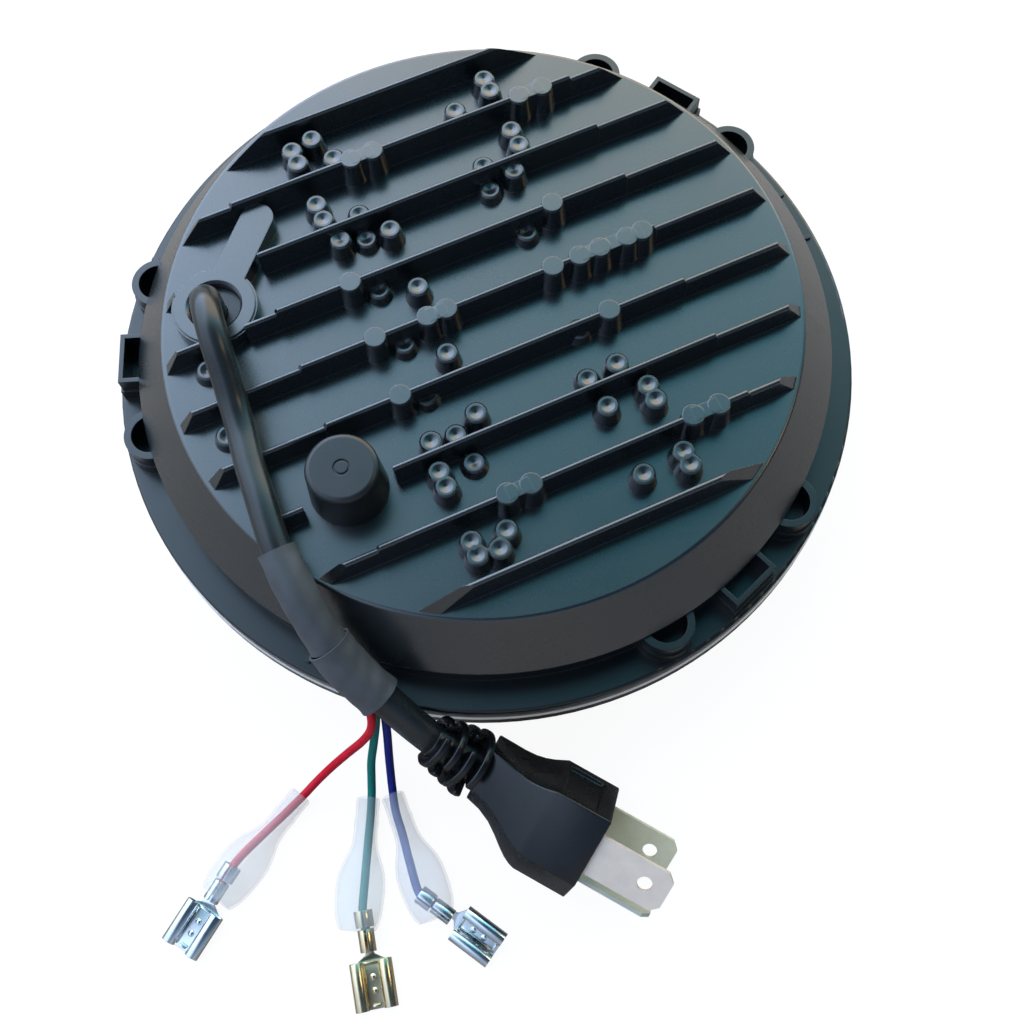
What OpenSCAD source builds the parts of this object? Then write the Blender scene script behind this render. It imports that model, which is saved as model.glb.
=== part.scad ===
// Round motorcycle headlight that lies on its lens, with its finned cast back upwards.
// The lamp's axis is Z, the front of the lens is at z = 0 and +Y points away from the plug.

/* [Lens] */
// How far the rim of the lens stands out past the mounting ring
rim_lip = 0.3; // [0:0.1:1]
// Thickness of that rim
lens_rim_t = 3.2; // [2.4:0.1:4.5]
// Width of that rim outside the deep skirt
rim_w = 8.3; // [6.3:0.1:8.8]
// Depth of the lens from its front face to its rim
lens_depth = 14.4; // [13.5:0.1:18]
// Wall of the lens
lens_wall = 2.5; // [2:0.1:3]
// Radius of the corner between the front face and the skirt
lens_corner_r = 7; // [5:0.5:9]
// Thickness of the seal between the lens and the ring
seal_t = 0.4; // [0.2:0.1:1]

/* [Mounting ring] */
// Outer diameter of the flange that the lamp is clamped by
ring_d = 146; // [144:0.5:150]
// Thickness of the flange
flange_t = 4; // [3:0.1:5]
// Width of the flange outside the collar that carries the heat sink
flange_w = 6.1; // [5.6:0.1:6.4]
// Height of the collar above the flange
collar_h = 6.1; // [5:0.1:8]
// Wall of the collar
collar_wall = 4.4; // [4:0.1:4.8]
// Width of the shelf inside the collar that carries the bezel
shelf_w = 5.5; // [4.8:0.1:6.2]
// Thickness of the shelf
shelf_t = 3; // [2:0.1:3.8]
// Thickness of the gasket under the heat sink
gasket_t = 0.4; // [0.2:0.1:1]

/* [Locating lugs] */
// Width of a hollow lug along the rim
lug_w = 10.5; // [8:0.1:12]
// Distance from the rim of the flange in to the outer face of a lug
lug_inset = 1.5; // [1:0.1:2.5]
// Wall of a lug
lug_wall = 0.9; // [0.6:0.1:1.5]
// Clearance between the top of a lug and the foot of the heat sink
lug_gap = 0.1; // [0.1:0.1:1]
// Height of the wider foot round lugs and wells
plinth_h = 3; // [1:0.1:4]
// How far that foot stands out
plinth_out = 0.4; // [0.2:0.1:0.8]
// Outer radius of a round well beside a lug
well_r = 5.2; // [4.5:0.1:5.8]
// Wall of a round well
well_wall = 1.4; // [0.8:0.1:2]
// Distance from the rim of the flange in to the middle of a well
well_inset = 6.3; // [6:0.1:7]
// Angle between a lug and each of its wells
well_turn = 14.4; // [12:0.1:17]

/* [Heat sink] */
// How far its foot stands out past the collar
foot_lip = 0.55; // [0.1:0.05:1]
// Height of the upright edge of the foot
foot_edge = 0.5; // [0.3:0.1:1.5]
// How far its tapered side leans in from the foot to the finned plate
side_lean = 7.15; // [6:0.05:7.9]
// Height from the foot to the finned face
sink_h = 10.5; // [9:0.1:14]
// Thickness of the finned plate
plate_t = 3.2; // [2.5:0.1:4]
// Radius of the edge round the plate
plate_edge_r = 0.8; // [0.4:0.1:1.2]
// Wall of the tapered side, measured level
side_wall = 4.2; // [3:0.1:5]

/* [Fins] */
// Spacing of the fins
fin_pitch = 12.58; // [11:0.02:13]
// Turn of the fins from the X axis
fin_turn = 24.4; // [0:0.1:45]
// Height of a fin near its ends
fin_h = 4.6; // [3:0.1:5]
// Height of a fin along its middle
fin_mid_h = 5.6; // [5.1:0.1:7]
// Half the length of the higher middle
fin_mid_half = 35.8; // [34:0.1:40]
// Width of a fin at its rounded crest
fin_crest_w = 1.1; // [0.8:0.1:1.6]
// Width of a fin at the plate
fin_base_w = 2.2; // [1.8:0.1:3]
// How far a fin's end slopes inwards as it rises
fin_end_slope = 4.5; // [2:0.1:8]

/* [Pins] */
// Diameter of a pin at the plate
pin_base_d = 5.2; // [4.6:0.1:5.6]
// Diameter of a pin at its top
pin_top_d = 4.2; // [3.6:0.1:4.4]
// Height of a pin
pin_h = 4; // [3:0.1:5]
// Height of a low pin
low_pin_h = 2; // [1.2:0.1:2.8]
// Depth of the dish in the top of a pin
pin_dish = 0.35; // [0.1:0.05:0.6]

/* [Cable boss] */
// Outer diameter of the boss round the cable
boss_d = 16.1; // [14:0.1:17]
// Height of the boss and its arm
boss_h = 3.6; // [3:0.1:4.5]
// Diameter of the hole through the boss
boss_hole_d = 9.6; // [9:0.1:10.5]
// Width of the arm that stiffens the boss
arm_w = 6.3; // [5:0.1:7]
// Clearance of the gland in its hole
gland_gap = 0.1; // [0.05:0.05:0.2]
// Depth of the gland below the top of the boss
gland_drop = 2; // [1:0.1:2.5]

/* [Breather cap] */
// Diameter of the cap at its top
cap_top_d = 13; // [12:0.1:14]
// Diameter of the cap at its foot
cap_base_d = 14.4; // [13.4:0.1:15.5]
// Height of the cap
cap_h = 10; // [8:0.1:12]
// Radius of the cap's rounded edge
cap_edge_r = 1; // [0.5:0.1:1.5]
// Diameter of the spigot under the cap
spigot_d = 7.6; // [6:0.1:8.5]
// Height of the spigot
spigot_h = 6; // [4:0.1:6.5]
// Clearance between the cap and the spigot
cap_gap = 0.2; // [0.1:0.05:0.3]

/* [Optics] */
// Distance of each beam's axis from the lamp's axis
beam_offset = 24; // [22:0.5:25]
// Diameter of a projector lens
beam_lens_d = 36; // [32:0.5:37]
// Thickness of a projector lens at its rim
beam_lens_rim = 2; // [1.5:0.1:2.5]
// Height of the dome of a projector lens
beam_lens_dome = 6; // [4:0.1:7]
// Length of a beam's reflector
reflector_h = 12.4; // [11.5:0.1:12.6]
// Wall of a reflector
reflector_wall = 1.5; // [1:0.1:2]
// Diameter of a reflector where it meets its board
reflector_back_d = 16; // [14:0.5:17]
// Diameter of a lamp board and of the pedestal behind it
led_board_d = 28; // [27:0.5:32]
// Thickness of the circuit boards
board_t = 1.6; // [1:0.1:2]
// Height of a pedestal's face above the front of the flange
pedestal_z = 9; // [8.5:0.1:10]
// Depth of the bezel in front of the shelf
bezel_depth = 8; // [7:0.1:8.5]
// Thickness of the bezel
bezel_t = 2; // [1:0.1:2.5]
// Clearance of the bezel round each projector lens
bezel_gap = 0.4; // [0.3:0.1:1]
// Distance from the shelf in to the ring light
halo_inset = 6.5; // [5.5:0.1:7.5]
// Width of the ring light
halo_w = 5.5; // [4:0.1:6]
// Height of the ring light
halo_h = 4; // [3.2:0.1:4.4]
// Length of the driver board
driver_l = 56; // [50:1:60]
// Width of the driver board
driver_w = 22; // [20:1:23]

/* [Screws] */
// Distance from the bore of the collar in to the middle of a housing screw
screw_inset = 3; // [2.7:0.1:3.5]
// Diameter of a housing screw
screw_d = 2.7; // [2.4:0.1:3]
// Diameter of its head
screw_head_d = 5.2; // [4.6:0.1:5.4]
// Height of its head
screw_head_h = 2; // [1.2:0.1:2]
// Length of a housing screw under its head
screw_l = 15; // [13:0.5:16]
// Clearance round a screw
screw_gap = 0.15; // [0.1:0.05:0.2]
// Diameter of a board screw
board_screw_d = 2; // [1.6:0.1:2.2]
// Diameter of the head of a board screw
board_head_d = 3.8; // [3:0.1:4]

/* [Cord] */
// Diameter of the main cable
cable_d = 5.4; // [4.5:0.1:6]
// Diameter of the first shrunk sleeve
upper_sleeve_d = 7; // [6:0.1:7.5]
// Diameter of the second shrunk sleeve
lower_sleeve_d = 8.4; // [8:0.1:9]
// Diameter of the lead to the plug
lead_d = 6; // [5:0.1:6]
// Diameter of each single wire
wire_d = 1.6; // [1.2:0.1:1.8]

/* [Plug] */
// Length of the straight box at the mouth of the plug
box_l = 10.7; // [8:0.1:12]
// Length of the plug from its mouth to its back
plug_l = 24.5; // [22:0.1:25]
// Height of the plug's box between its broad faces
plug_h = 16; // [15:0.1:17]
// Distance from the blades' middle to the plain narrow face
plug_plain_side = 7.4; // [6:0.1:8]
// Distance from the blades' middle to the chamfered narrow face
plug_keyed_side = 12.6; // [12:0.1:14]
// Length of the strain relief
relief_l = 10; // [9:0.1:11]
// Largest diameter of the strain relief's ribs
rib_d = 13.4; // [12:0.1:14]
// Number of ribs on the strain relief
rib_count = 4; // [3:1:4]
// Step in diameter from one rib to the next
rib_step = 1.4; // [1:0.1:1.6]

/* [Blades] */
// Width of a contact blade
blade_w = 8.2; // [7:0.1:8.5]
// Thickness of a contact blade
blade_t = 0.8; // [0.6:0.1:1]
// Length of a blade outside the plug
blade_l = 14.8; // [12:0.1:16]
// Length of a blade inside the plug
blade_root = 5.8; // [4:0.1:8]
// Chamfer at the tip of a blade
blade_chamfer = 1.5; // [0.8:0.1:2.5]
// Distance between the two parallel blades
blade_sep = 13.6; // [12.6:0.1:13.8]
// Distance from the blades' middle to the third blade
third_blade = 7; // [6:0.1:8]
// Diameter of the hole in a blade
blade_hole_d = 2.8; // [2:0.1:3.4]
// Distance of that hole from the plug's mouth
blade_hole_x = 10.4; // [8:0.1:12]
// Clearance of a blade in its slot
blade_gap = 0.1; // [0.05:0.05:0.2]

/* [Terminals] */
// Width of a push-on terminal
term_w = 7.6; // [6.8:0.1:8]
// Length of the terminal's receptacle
term_l = 8.5; // [7:0.1:9.5]
// Height of the receptacle's rolled edges
term_h = 2.3; // [2:0.1:2.6]
// Thickness of the terminal's sheet
term_t = 0.4; // [0.3:0.05:0.45]
// Length of the crimp round the insulation
grip_l = 3; // [2:0.1:3.4]
// Diameter of the crimp round the insulation
grip_d = 2.8; // [2.6:0.1:3]
// Length of the crimp on the bare wire
barrel_l = 4; // [3:0.1:5]
// Diameter of the crimp on the bare wire
barrel_d = 2.4; // [2:0.1:2.6]
// Length of the neck behind the receptacle
term_neck = 1.6; // [1:0.1:2.5]

/* [Wire boots] */
// Length of a clear boot
boot_l = 24.5; // [22:0.1:25]
// Diameter of a boot's narrow end
boot_neck_d = 4.3; // [3.8:0.1:4.6]
// Width of a boot's broad end
boot_w = 9.4; // [8.8:0.1:10]
// Height of a boot's broad end
boot_h = 5.8; // [5.6:0.1:6.4]
// Wall of a boot
boot_wall = 0.5; // [0.3:0.05:0.55]

/* [Hidden] */
$fn = 96;

// Diameters and distances from the axis, all taken from the flange
lens_rim_d = ring_d + 2 * rim_lip;
lens_skirt_d = lens_rim_d - 2 * rim_w;
collar_d = ring_d - 2 * flange_w;
collar_bore_d = collar_d - 2 * collar_wall;
shelf_bore_d = collar_bore_d - 2 * shelf_w;
lug_reach = ring_d / 2 - lug_inset;
well_centre_r = ring_d / 2 - well_inset;
foot_d = collar_d + 2 * foot_lip;
plate_d = foot_d - 2 * side_lean;
screw_r = collar_bore_d / 2 - screw_inset;
halo_bore_d = shelf_bore_d - 2 * (halo_inset + halo_w);

// Levels along the lamp's axis
rim_z = lens_depth;
seal_z = rim_z + lens_rim_t;
flange_z = seal_z + seal_t;
back_z = flange_z + flange_t;
collar_z = back_z + collar_h;
foot_z = collar_z + gasket_t;
plate_z = foot_z + sink_h;
under_z = plate_z - plate_t;
lug_h = collar_h + gasket_t - lug_gap;
pedestal_face_z = flange_z + pedestal_z;
board_face_z = pedestal_face_z - board_t;
reflector_z = board_face_z - reflector_h;
bezel_z = flange_z - bezel_depth;
driver_standoff = 3.2;
driver_face_z = under_z - driver_standoff;

// How far one shape is sunk into another of the same casting
root = 0.5;
// How far the lugs reach into the collar, and the gasket inside them
lug_root = 1;
gasket_d = collar_d - 2 * lug_root - 0.2;
// Round pillars that the housing screws stand in
pillar_d = screw_head_d + 1.6;
screw_hole_d = screw_d + 4 * screw_gap;
// How far the lens seal stays inside the flange's rim and outside the lens's skirt
seal_inset = 0.7;
seal_clear = 1;
// Middle of the driver board across the lamp
driver_x = -31;
// Coil and chip on it: size, and start along the board; and its round capacitor
coil_size = [10, 10, 4];
coil_y = -14;
chip_size = [8, 12, 3];
chip_y = 4;
can_d = 6;
can_h = 5;
// Head of a board screw, and how far it reaches into its pillar
board_head_h = 1.2;
board_screw_bite = 3.5;

// Key angles of the lugs, unequal so that the lamp fits one way round
lug_angles = [-176.3, 55.65, -45.4];
// Small ribs on the flange: angle, and distance of their inner end from the flange's rim
tick_places = [[162.8, 1.8], [30.6, 2.5], [21.5, 2.7], [-116.5, 3.2]];
tick_l = 1.4;
tick_w = 0.8;
tick_h = 0.5;
screw_turn = 25;
screw_count = 4;

// Stretches of fin: row from the middle one, start and end along the fin
edge = plate_d / 2;
fin_stretches = [
    [4, -edge, edge],
    [3, -edge, edge],
    [2, -edge, -51.5], [2, -34.6, edge],
    [1, -edge, -49], [1, -42, edge],
    [0, -edge, edge],
    [-1, -edge, edge],
    [-2, -edge, -44.7], [-2, -27.7, edge],
    [-3, -edge, edge],
    [-4, -edge, edge]
];
// Pins that stand in a fin: row, then places along it
fin_pins = [
    [3, [-10.8, -6.4, 24.6, 29.5]],
    [1, [-20.9, 20.2]],
    [0, [-21, -10.6, -6.9, 14.6, 20.1, 24.2, 29.8, 32.9]],
    [-1, [-21.2, 20.1]],
    [-3, [-11.4, -6.9, 24.5, 29.6]]
];
// Free pins between the fins: place along and across them
pin_pair_t = 20.4;
pin_pairs_s = [45.5, 42.4, 32.1, 28.4, -28.4, -31.5, -42.6, -45.3];
tall_pins = [
    [12.2, 40.8], [-15.9, 46.5], [-13.6, 40.6], [12.1, 26.7], [17.1, 23.4], [-19.1, 22.9],
    [-9.6, 21.1], [-9.6, 7.4], [-10, -7.5], [-10, -20.7], [-19.5, -22.5], [-14, -43.2],
    [-16.4, -45.8], [17.2, -22.2], [12, -29.2], [12.1, -43.6]
];
low_pins = [
    [11.6, 22.5], [-13.5, 28], [-14.3, 22.3], [-16.2, 11], [14.2, 10.9], [-16.2, -1.5],
    [-16.6, -12.9], [-14.7, -22.3], [-13.9, -28.6], [11.5, -22], [14.4, -12.1],
    [-51.2, 8.5], [-52.3, -5.4]
];

// Cable boss, its arm and the breather cap, in plan
boss_at = [-49.6, -0.9];
arm_tip = [-43.1, 18];
cap_at = [-23.1, -36];
gland_d = boss_hole_d - 2 * gland_gap;
gland_top_z = plate_z + boss_h - gland_drop;
cable_at = [-50.1, -1.6];
boss_chamfer = 0.5;
socket_depth = 2;

// Routes of the cords, point by point
trunk = [
    [-50.1, -1.6, gland_top_z - socket_depth],
    [-50.1, -1.6, 42.8],
    [-49.9, -2.2, 46.5],
    [-49.1, -4.4, 50.3],
    [-47.9, -7.6, 52.8],
    [-46.6, -11.4, 53.4],
    [-45.4, -15.2, 52.3],
    [-44.1, -19.2, 49.9],
    [-42.9, -23.4, 47.6],
    [-41.4, -28.2, 46.5],
    [-39.4, -34.6, 46.5],
    [-37, -41.1, 46.6],
    [-35.4, -45.6, 46.3],
    [-33.8, -49.8, 45.6],
    [-31.6, -54.3, 44.1],
    [-29.3, -58.3, 42],
    [-27.4, -61.4, 39.7],
    [-25.5, -64.1, 37.2],
    [-22.92, -66.91, 34.78],
    [-20.06, -69.41, 32.37],
    [-17.22, -71.6, 30.06],
    [-14.08, -73.88, 27.35],
    [-11.25, -75.69, 24.07],
    [-8.83, -77.15, 20.48]
];
// Points of the trunk where the sleeves begin and end
upper_from = 13;
lower_from = 17;
lead_from = 20;
trunk_side = [0.95, 0.31, 0];
wire_side = [1, 0, 0.3];
wire_sides_n = 8;
cord_sides_n = 12;

// Unit vector, and the direction of a route at one of its points
function unit(v) = v / norm(v);
function heading(p, i) = unit(p[min(i + 1, len(p) - 1)] - p[max(i - 1, 0)]);
// Ring of n points round a centre, square to a direction
function ring_at(c, d, side, rx, ry, n) =
    let (a = unit(cross(d, side)), b = cross(d, a))
    [for (k = [0:n - 1]) c + rx * cos(360 * k / n) * a + ry * sin(360 * k / n) * b];

// Where the wires leave the end of the lower sleeve, and where the lead leaves it
sleeve_end = trunk[lead_from];
sleeve_dir = heading(trunk, lead_from);
sleeve_low = unit(cross(cross(sleeve_dir, [-0.2, -0.15, -1]), sleeve_dir));
sleeve_across = cross(sleeve_dir, sleeve_low);
lead_shift = -1.1 * sleeve_low;
lead_route = [for (i = [lead_from:len(trunk) - 1]) trunk[i] + (i == lead_from ? lead_shift : [0, 0, 0])];
wire_out = 3.2;
wire_spread = 1.75;
function wire_start(k) =
    sleeve_end + (wire_out - 0.4 * abs(k)) * sleeve_low + k * wire_spread * sleeve_across;

// Push-on terminals: start of the wire axis, then roll, dip and turn
red_term = [-47, -98.3, 2.72];
red_pose = [0, 4, -121.5];
green_term = [-22.1, -106.2, 2.72];
green_pose = [0, 4, -79];
blue_term = [-11.5, -103.2, 3.67];
blue_pose = [30, 3, -35];
function term_dir(pose) =
    [cos(pose[1]) * cos(pose[2]), cos(pose[1]) * sin(pose[2]), -sin(pose[1])];
barrel_x = grip_l + 0.4;
receptacle_x = barrel_x + barrel_l + term_neck;

red_route = concat(
    [wire_start(-1)],
    [[-19.07, -74.39, 26.17], [-19.6, -76, 22], [-21.6, -77.3, 17.6], [-25, -78.7, 12.4],
     [-28.6, -80.5, 7.6], [-31.8, -82.6, 4], [-34.6, -85.2, 2.4], [-38, -88.6, 2],
     [-42, -92.6, 2.1], [-45, -95.8, 2.5]],
    [red_term, red_term + barrel_x * term_dir(red_pose)]);
green_route = concat(
    [wire_start(0)],
    [[-18.57, -72.69, 25.27], [-18.9, -74.4, 20.6], [-19.9, -77, 14.5], [-20.9, -79.6, 9],
     [-21.3, -82.2, 4.6], [-21.4, -85, 2.5], [-21.5, -89, 2], [-21.8, -95, 1.9],
     [-22, -101, 2.3]],
    [green_term, green_term + barrel_x * term_dir(green_pose)]);
blue_route = concat(
    [wire_start(1)],
    [[-17.16, -71.54, 25.26], [-17.2, -73.4, 21], [-17.3, -75.6, 16], [-17.5, -78.4, 10.4],
     [-17.6, -81, 5.6], [-17.4, -84, 2.8], [-16.7, -88, 2.1], [-15.2, -92.4, 2],
     [-13.6, -97.6, 2.5]],
    [blue_term, blue_term + barrel_x * term_dir(blue_pose)]);

// Clear boots: middle of the narrow end on the ground, and turn
red_boot_at = [-34.9, -84.9];
red_boot_turn = -127.5;
green_boot_at = [-22, -85.4];
green_boot_turn = -92.3;
blue_boot_at = [-17.5, -84.8];
blue_boot_turn = -68;
boot_sides_n = 20;
boot_lift = 0.05;
// Stations of a boot: share of its length and of its growth from neck to full width
boot_stations = [[0, -0.06], [0.05, 0], [0.4, 0.3], [0.5, 0.55], [0.6, 0.85], [0.7, 1], [0.86, 1], [1, 0.88]];

// Plug: middle of its mouth, then roll, dip and turn
plug_at = [21.3, -93.6, 11.1];
plug_pose = [30.5, 6.4, -28.1];
plug_x = [cos(plug_pose[1]) * cos(plug_pose[2]), cos(plug_pose[1]) * sin(plug_pose[2]), -sin(plug_pose[1])];
plug_left = [-sin(plug_pose[2]), cos(plug_pose[2]), 0];
plug_up = cross(plug_x, plug_left);
plug_w = cos(plug_pose[0]) * plug_left + sin(plug_pose[0]) * plug_up;
plug_n = cos(plug_pose[0]) * plug_up - sin(plug_pose[0]) * plug_left;
function plug_point(x, w, n) = plug_at + x * plug_x + w * plug_w + n * plug_n;
relief_end = plug_point(1 - plug_l, 0.6, 0);
relief_dir = unit(trunk[len(trunk) - 1] - relief_end);
relief_start = trunk[len(trunk) - 1];

// A plane figure whose x and y become Y and Z, drawn out along +X
module along_x(l) {
    rotate([90, 0, 90])
        linear_extrude(l)
            children();
}

// Stands what is drawn along +Z at point p so that it points to point q
module from_to(p, q) {
    v = q - p;
    translate(p)
        rotate([0, acos(v[2] / norm(v)), atan2(v[1], v[0])])
            children();
}

// Half section of a dish with a rounded outer corner, from z to top
module dish_half(r, z, top, corner) {
    translate([0, z + corner])
        square([r, top - z - corner]);
    translate([0, z])
        square([r - corner, top - z]);
    translate([r - corner, z + corner])
        circle(corner);
}

// Closed tube through a list of rings that all have n points
module tube(rings, n) {
    m = len(rings) - 1;
    polyhedron(
        points = [for (r = rings) for (q = r) q],
        faces = concat(
            [[for (k = [0:n - 1]) k]],
            [for (i = [0:m - 1]) for (k = [0:n - 1])
                [i * n + k, (i + 1) * n + k, (i + 1) * n + (k + 1) % n]],
            [for (i = [0:m - 1]) for (k = [0:n - 1])
                [i * n + k, (i + 1) * n + (k + 1) % n, i * n + (k + 1) % n]],
            [[for (k = [n - 1:-1:0]) m * n + k]]));
}

// Tube along a whole route, square to first_dir and last_dir at its two ends
module swept(p, d, side, n, first_dir, last_dir) {
    m = len(p) - 1;
    dirs = [for (i = [0:m]) i == 0 ? first_dir : i == m ? last_dir : heading(p, i)];
    tube([for (i = [0:m]) ring_at(p[i], dirs[i], side, d / 2, d / 2, n)], n);
}

// Tube along the trunk's points i0 to i1
module trunk_piece(i0, i1, d) {
    swept(
        [for (i = [i0:i1]) trunk[i]],
        d, trunk_side, cord_sides_n, heading(trunk, i0), heading(trunk, i1));
}

module lens() {
    color("#dfe3e2", 0.6) {
        rotate_extrude() {
            difference() {
                union() {
                    dish_half(lens_skirt_d / 2, 0, seal_z, lens_corner_r);
                    translate([0, rim_z])
                        square([lens_rim_d / 2, lens_rim_t]);
                }
                dish_half(lens_skirt_d / 2 - lens_wall, lens_wall, seal_z + 1, lens_corner_r - lens_wall);
            }
        }
    }
}

module lens_seal() {
    color("#2a2a2a") {
        translate([0, 0, seal_z]) {
            difference() {
                cylinder(h = seal_t, d = ring_d - 2 * seal_inset);
                translate([0, 0, -1])
                    cylinder(h = seal_t + 2, d = lens_skirt_d + 2 * seal_clear);
            }
        }
    }
}

// Places what follows at each housing screw
module at_screws() {
    for (k = [0:screw_count - 1])
        rotate([0, 0, screw_turn + 360 * k / screw_count])
            translate([screw_r, 0, 0])
                children();
}

// Outline of a lug, grown by out, from the collar outwards
module lug_plan(out) {
    translate([collar_d / 2 - lug_root, -lug_w / 2 - out])
        square([lug_reach - collar_d / 2 + lug_root + out, lug_w + 2 * out]);
}

module lug_and_wells() {
    translate([0, 0, back_z]) {
        difference() {
            union() {
                translate([0, 0, -root])
                    linear_extrude(lug_h + root)
                        lug_plan(0);
                translate([0, 0, -root])
                    linear_extrude(plinth_h + root)
                        lug_plan(plinth_out);
                for (s = [-1, 1])
                    rotate([0, 0, s * well_turn])
                        translate([well_centre_r, 0, -root]) {
                            cylinder(h = lug_h + root, r = well_r);
                            cylinder(h = plinth_h + root, r = well_r + plinth_out);
                        }
            }
            translate([0, 0, tick_h])
                linear_extrude(lug_h + 1)
                    translate([collar_d / 2 + lug_wall / 2, -lug_w / 2 + lug_wall])
                        square([lug_reach - collar_d / 2 - 1.5 * lug_wall, lug_w - 2 * lug_wall]);
            for (s = [-1, 1])
                rotate([0, 0, s * well_turn])
                    translate([well_centre_r, 0, tick_h])
                        cylinder(h = lug_h + 1, r = well_r - well_wall);
        }
    }
}

module mounting_ring() {
    color("#23282c") {
        difference() {
            union() {
                // flange with slightly rounded edges
                rotate_extrude() {
                    difference() {
                        union() {
                            translate([0, flange_z])
                                square([ring_d / 2 - 0.6, flange_t]);
                            translate([0, flange_z])
                                square([ring_d / 2, flange_t - 0.6]);
                            translate([ring_d / 2 - 0.6, back_z - 0.6])
                                circle(0.6);
                        }
                        translate([-1, flange_z - 1])
                            square([shelf_bore_d / 2 + 1, flange_t + 2]);
                    }
                }
                intersection() {
                    for (a = lug_angles)
                        rotate([0, 0, a])
                            lug_and_wells();
                    difference() {
                        translate([0, 0, flange_z])
                            cylinder(h = flange_t + lug_h, d = ring_d - 1);
                        translate([0, 0, flange_z - 1])
                            cylinder(h = flange_t + lug_h + 2, d = collar_d - 2 * lug_root);
                    }
                }
                translate([0, 0, flange_z])
                    cylinder(h = flange_t + collar_h, d = collar_d);
                for (t = tick_places)
                    rotate([0, 0, t[0]])
                        translate([ring_d / 2 - t[1], -tick_w / 2, back_z - root])
                            cube([tick_l, tick_w, tick_h + root]);
            }
            // bore above the shelf, with a pillar left standing at each screw
            difference() {
                translate([0, 0, flange_z + shelf_t])
                    cylinder(h = flange_t + collar_h, d = collar_bore_d);
                at_screws()
                    translate([0, 0, flange_z])
                        cylinder(h = flange_t + collar_h + 10, d = pillar_d);
            }
            difference() {
                translate([0, 0, flange_z - 1])
                    cylinder(h = flange_t + collar_h + 2, d = shelf_bore_d);
                at_screws()
                    translate([0, 0, flange_z - 2])
                        cylinder(h = flange_t + collar_h + 12, d = pillar_d);
            }
            at_screws()
                translate([0, 0, flange_z - 1])
                    cylinder(h = flange_t + collar_h + 2, d = screw_hole_d);
        }
    }
}

module housing_gasket() {
    color("#2e2e2e") {
        translate([0, 0, collar_z]) {
            difference() {
                cylinder(h = gasket_t, d = gasket_d);
                difference() {
                    translate([0, 0, -1])
                        cylinder(h = gasket_t + 2, d = collar_bore_d);
                    at_screws()
                        translate([0, 0, -2])
                            cylinder(h = gasket_t + 4, d = pillar_d);
                }
                at_screws()
                    translate([0, 0, -1])
                        cylinder(h = gasket_t + 2, d = screw_hole_d);
            }
        }
    }
}

// Section of a fin: drafted sides and a round crest, sunk into the plate
module fin_section(h) {
    c = fin_crest_w / 2;
    polygon([
        [-fin_base_w / 2, -root],
        [fin_base_w / 2, -root],
        [c, h - c],
        [-c, h - c]
    ]);
    translate([0, h - c])
        circle(c);
}

module fin_bar(row, t0, t1, h) {
    translate([t0, row * fin_pitch, 0])
        along_x(t1 - t0)
            fin_section(h);
}

// Every fin, with the higher middles sloped at both ends and the outer ends cut back
module fins() {
    intersection() {
        union() {
            for (f = fin_stretches)
                fin_bar(f[0], f[1], f[2], fin_h);
            intersection() {
                for (f = fin_stretches)
                    if (f[1] < fin_mid_half && f[2] > -fin_mid_half)
                        fin_bar(f[0], max(f[1], -fin_mid_half), min(f[2], fin_mid_half), fin_mid_h);
                rotate([90, 0, 0])
                    linear_extrude(plate_d, center = true)
                        polygon([
                            [-fin_mid_half, -root],
                            [fin_mid_half, -root],
                            [fin_mid_half, fin_h],
                            [fin_mid_half - 1, fin_mid_h + 1],
                            [1 - fin_mid_half, fin_mid_h + 1],
                            [-fin_mid_half, fin_h]
                        ]);
            }
        }
        translate([0, 0, -root])
            cylinder(
                h = fin_mid_h + 2 * root,
                r1 = edge - plate_edge_r + 0.4,
                r2 = edge - plate_edge_r + 0.4 - fin_end_slope);
    }
}

// Drafted pin with a shallow dish in its top
module pin(h) {
    rotate_extrude(convexity = 4)
        polygon([
            [0, -root],
            [pin_base_d / 2, -root],
            [pin_base_d / 2, 0.2],
            [pin_top_d / 2, h - 0.35],
            [pin_top_d / 2 - 0.35, h],
            [pin_top_d / 2 - 0.8, h],
            [0, h - pin_dish]
        ]);
}

module pins() {
    for (f = fin_pins)
        for (t = f[1])
            translate([t, f[0] * fin_pitch, 0])
                pin(fin_mid_h);
    for (s = pin_pairs_s)
        for (m = [-1, 1])
            translate([m * pin_pair_t, s, 0])
                pin(pin_h);
    for (q = tall_pins)
        translate([q[0], q[1], 0])
            pin(pin_h);
    for (q = low_pins)
        translate([q[0], q[1], 0])
            pin(low_pin_h);
}

// Tapered body of the heat sink, solid, with its rounded upper edge
module sink_outside() {
    slope = (foot_d - plate_d) / 2 / (sink_h - foot_edge);
    lean = atan(slope);
    er = plate_edge_r;
    // the edge's centre lies er inside both the plate's face and the tapered side
    cx = plate_d / 2 - er * (1 - sin(lean)) / cos(lean);
    rotate_extrude() {
        polygon([
            [0, foot_z],
            [foot_d / 2, foot_z],
            [foot_d / 2, foot_z + foot_edge],
            [cx + er * cos(lean), plate_z - er + er * sin(lean)],
            [cx, plate_z - er],
            [cx, plate_z],
            [0, plate_z]
        ]);
        translate([cx, plate_z - er])
            circle(er);
    }
}

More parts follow.
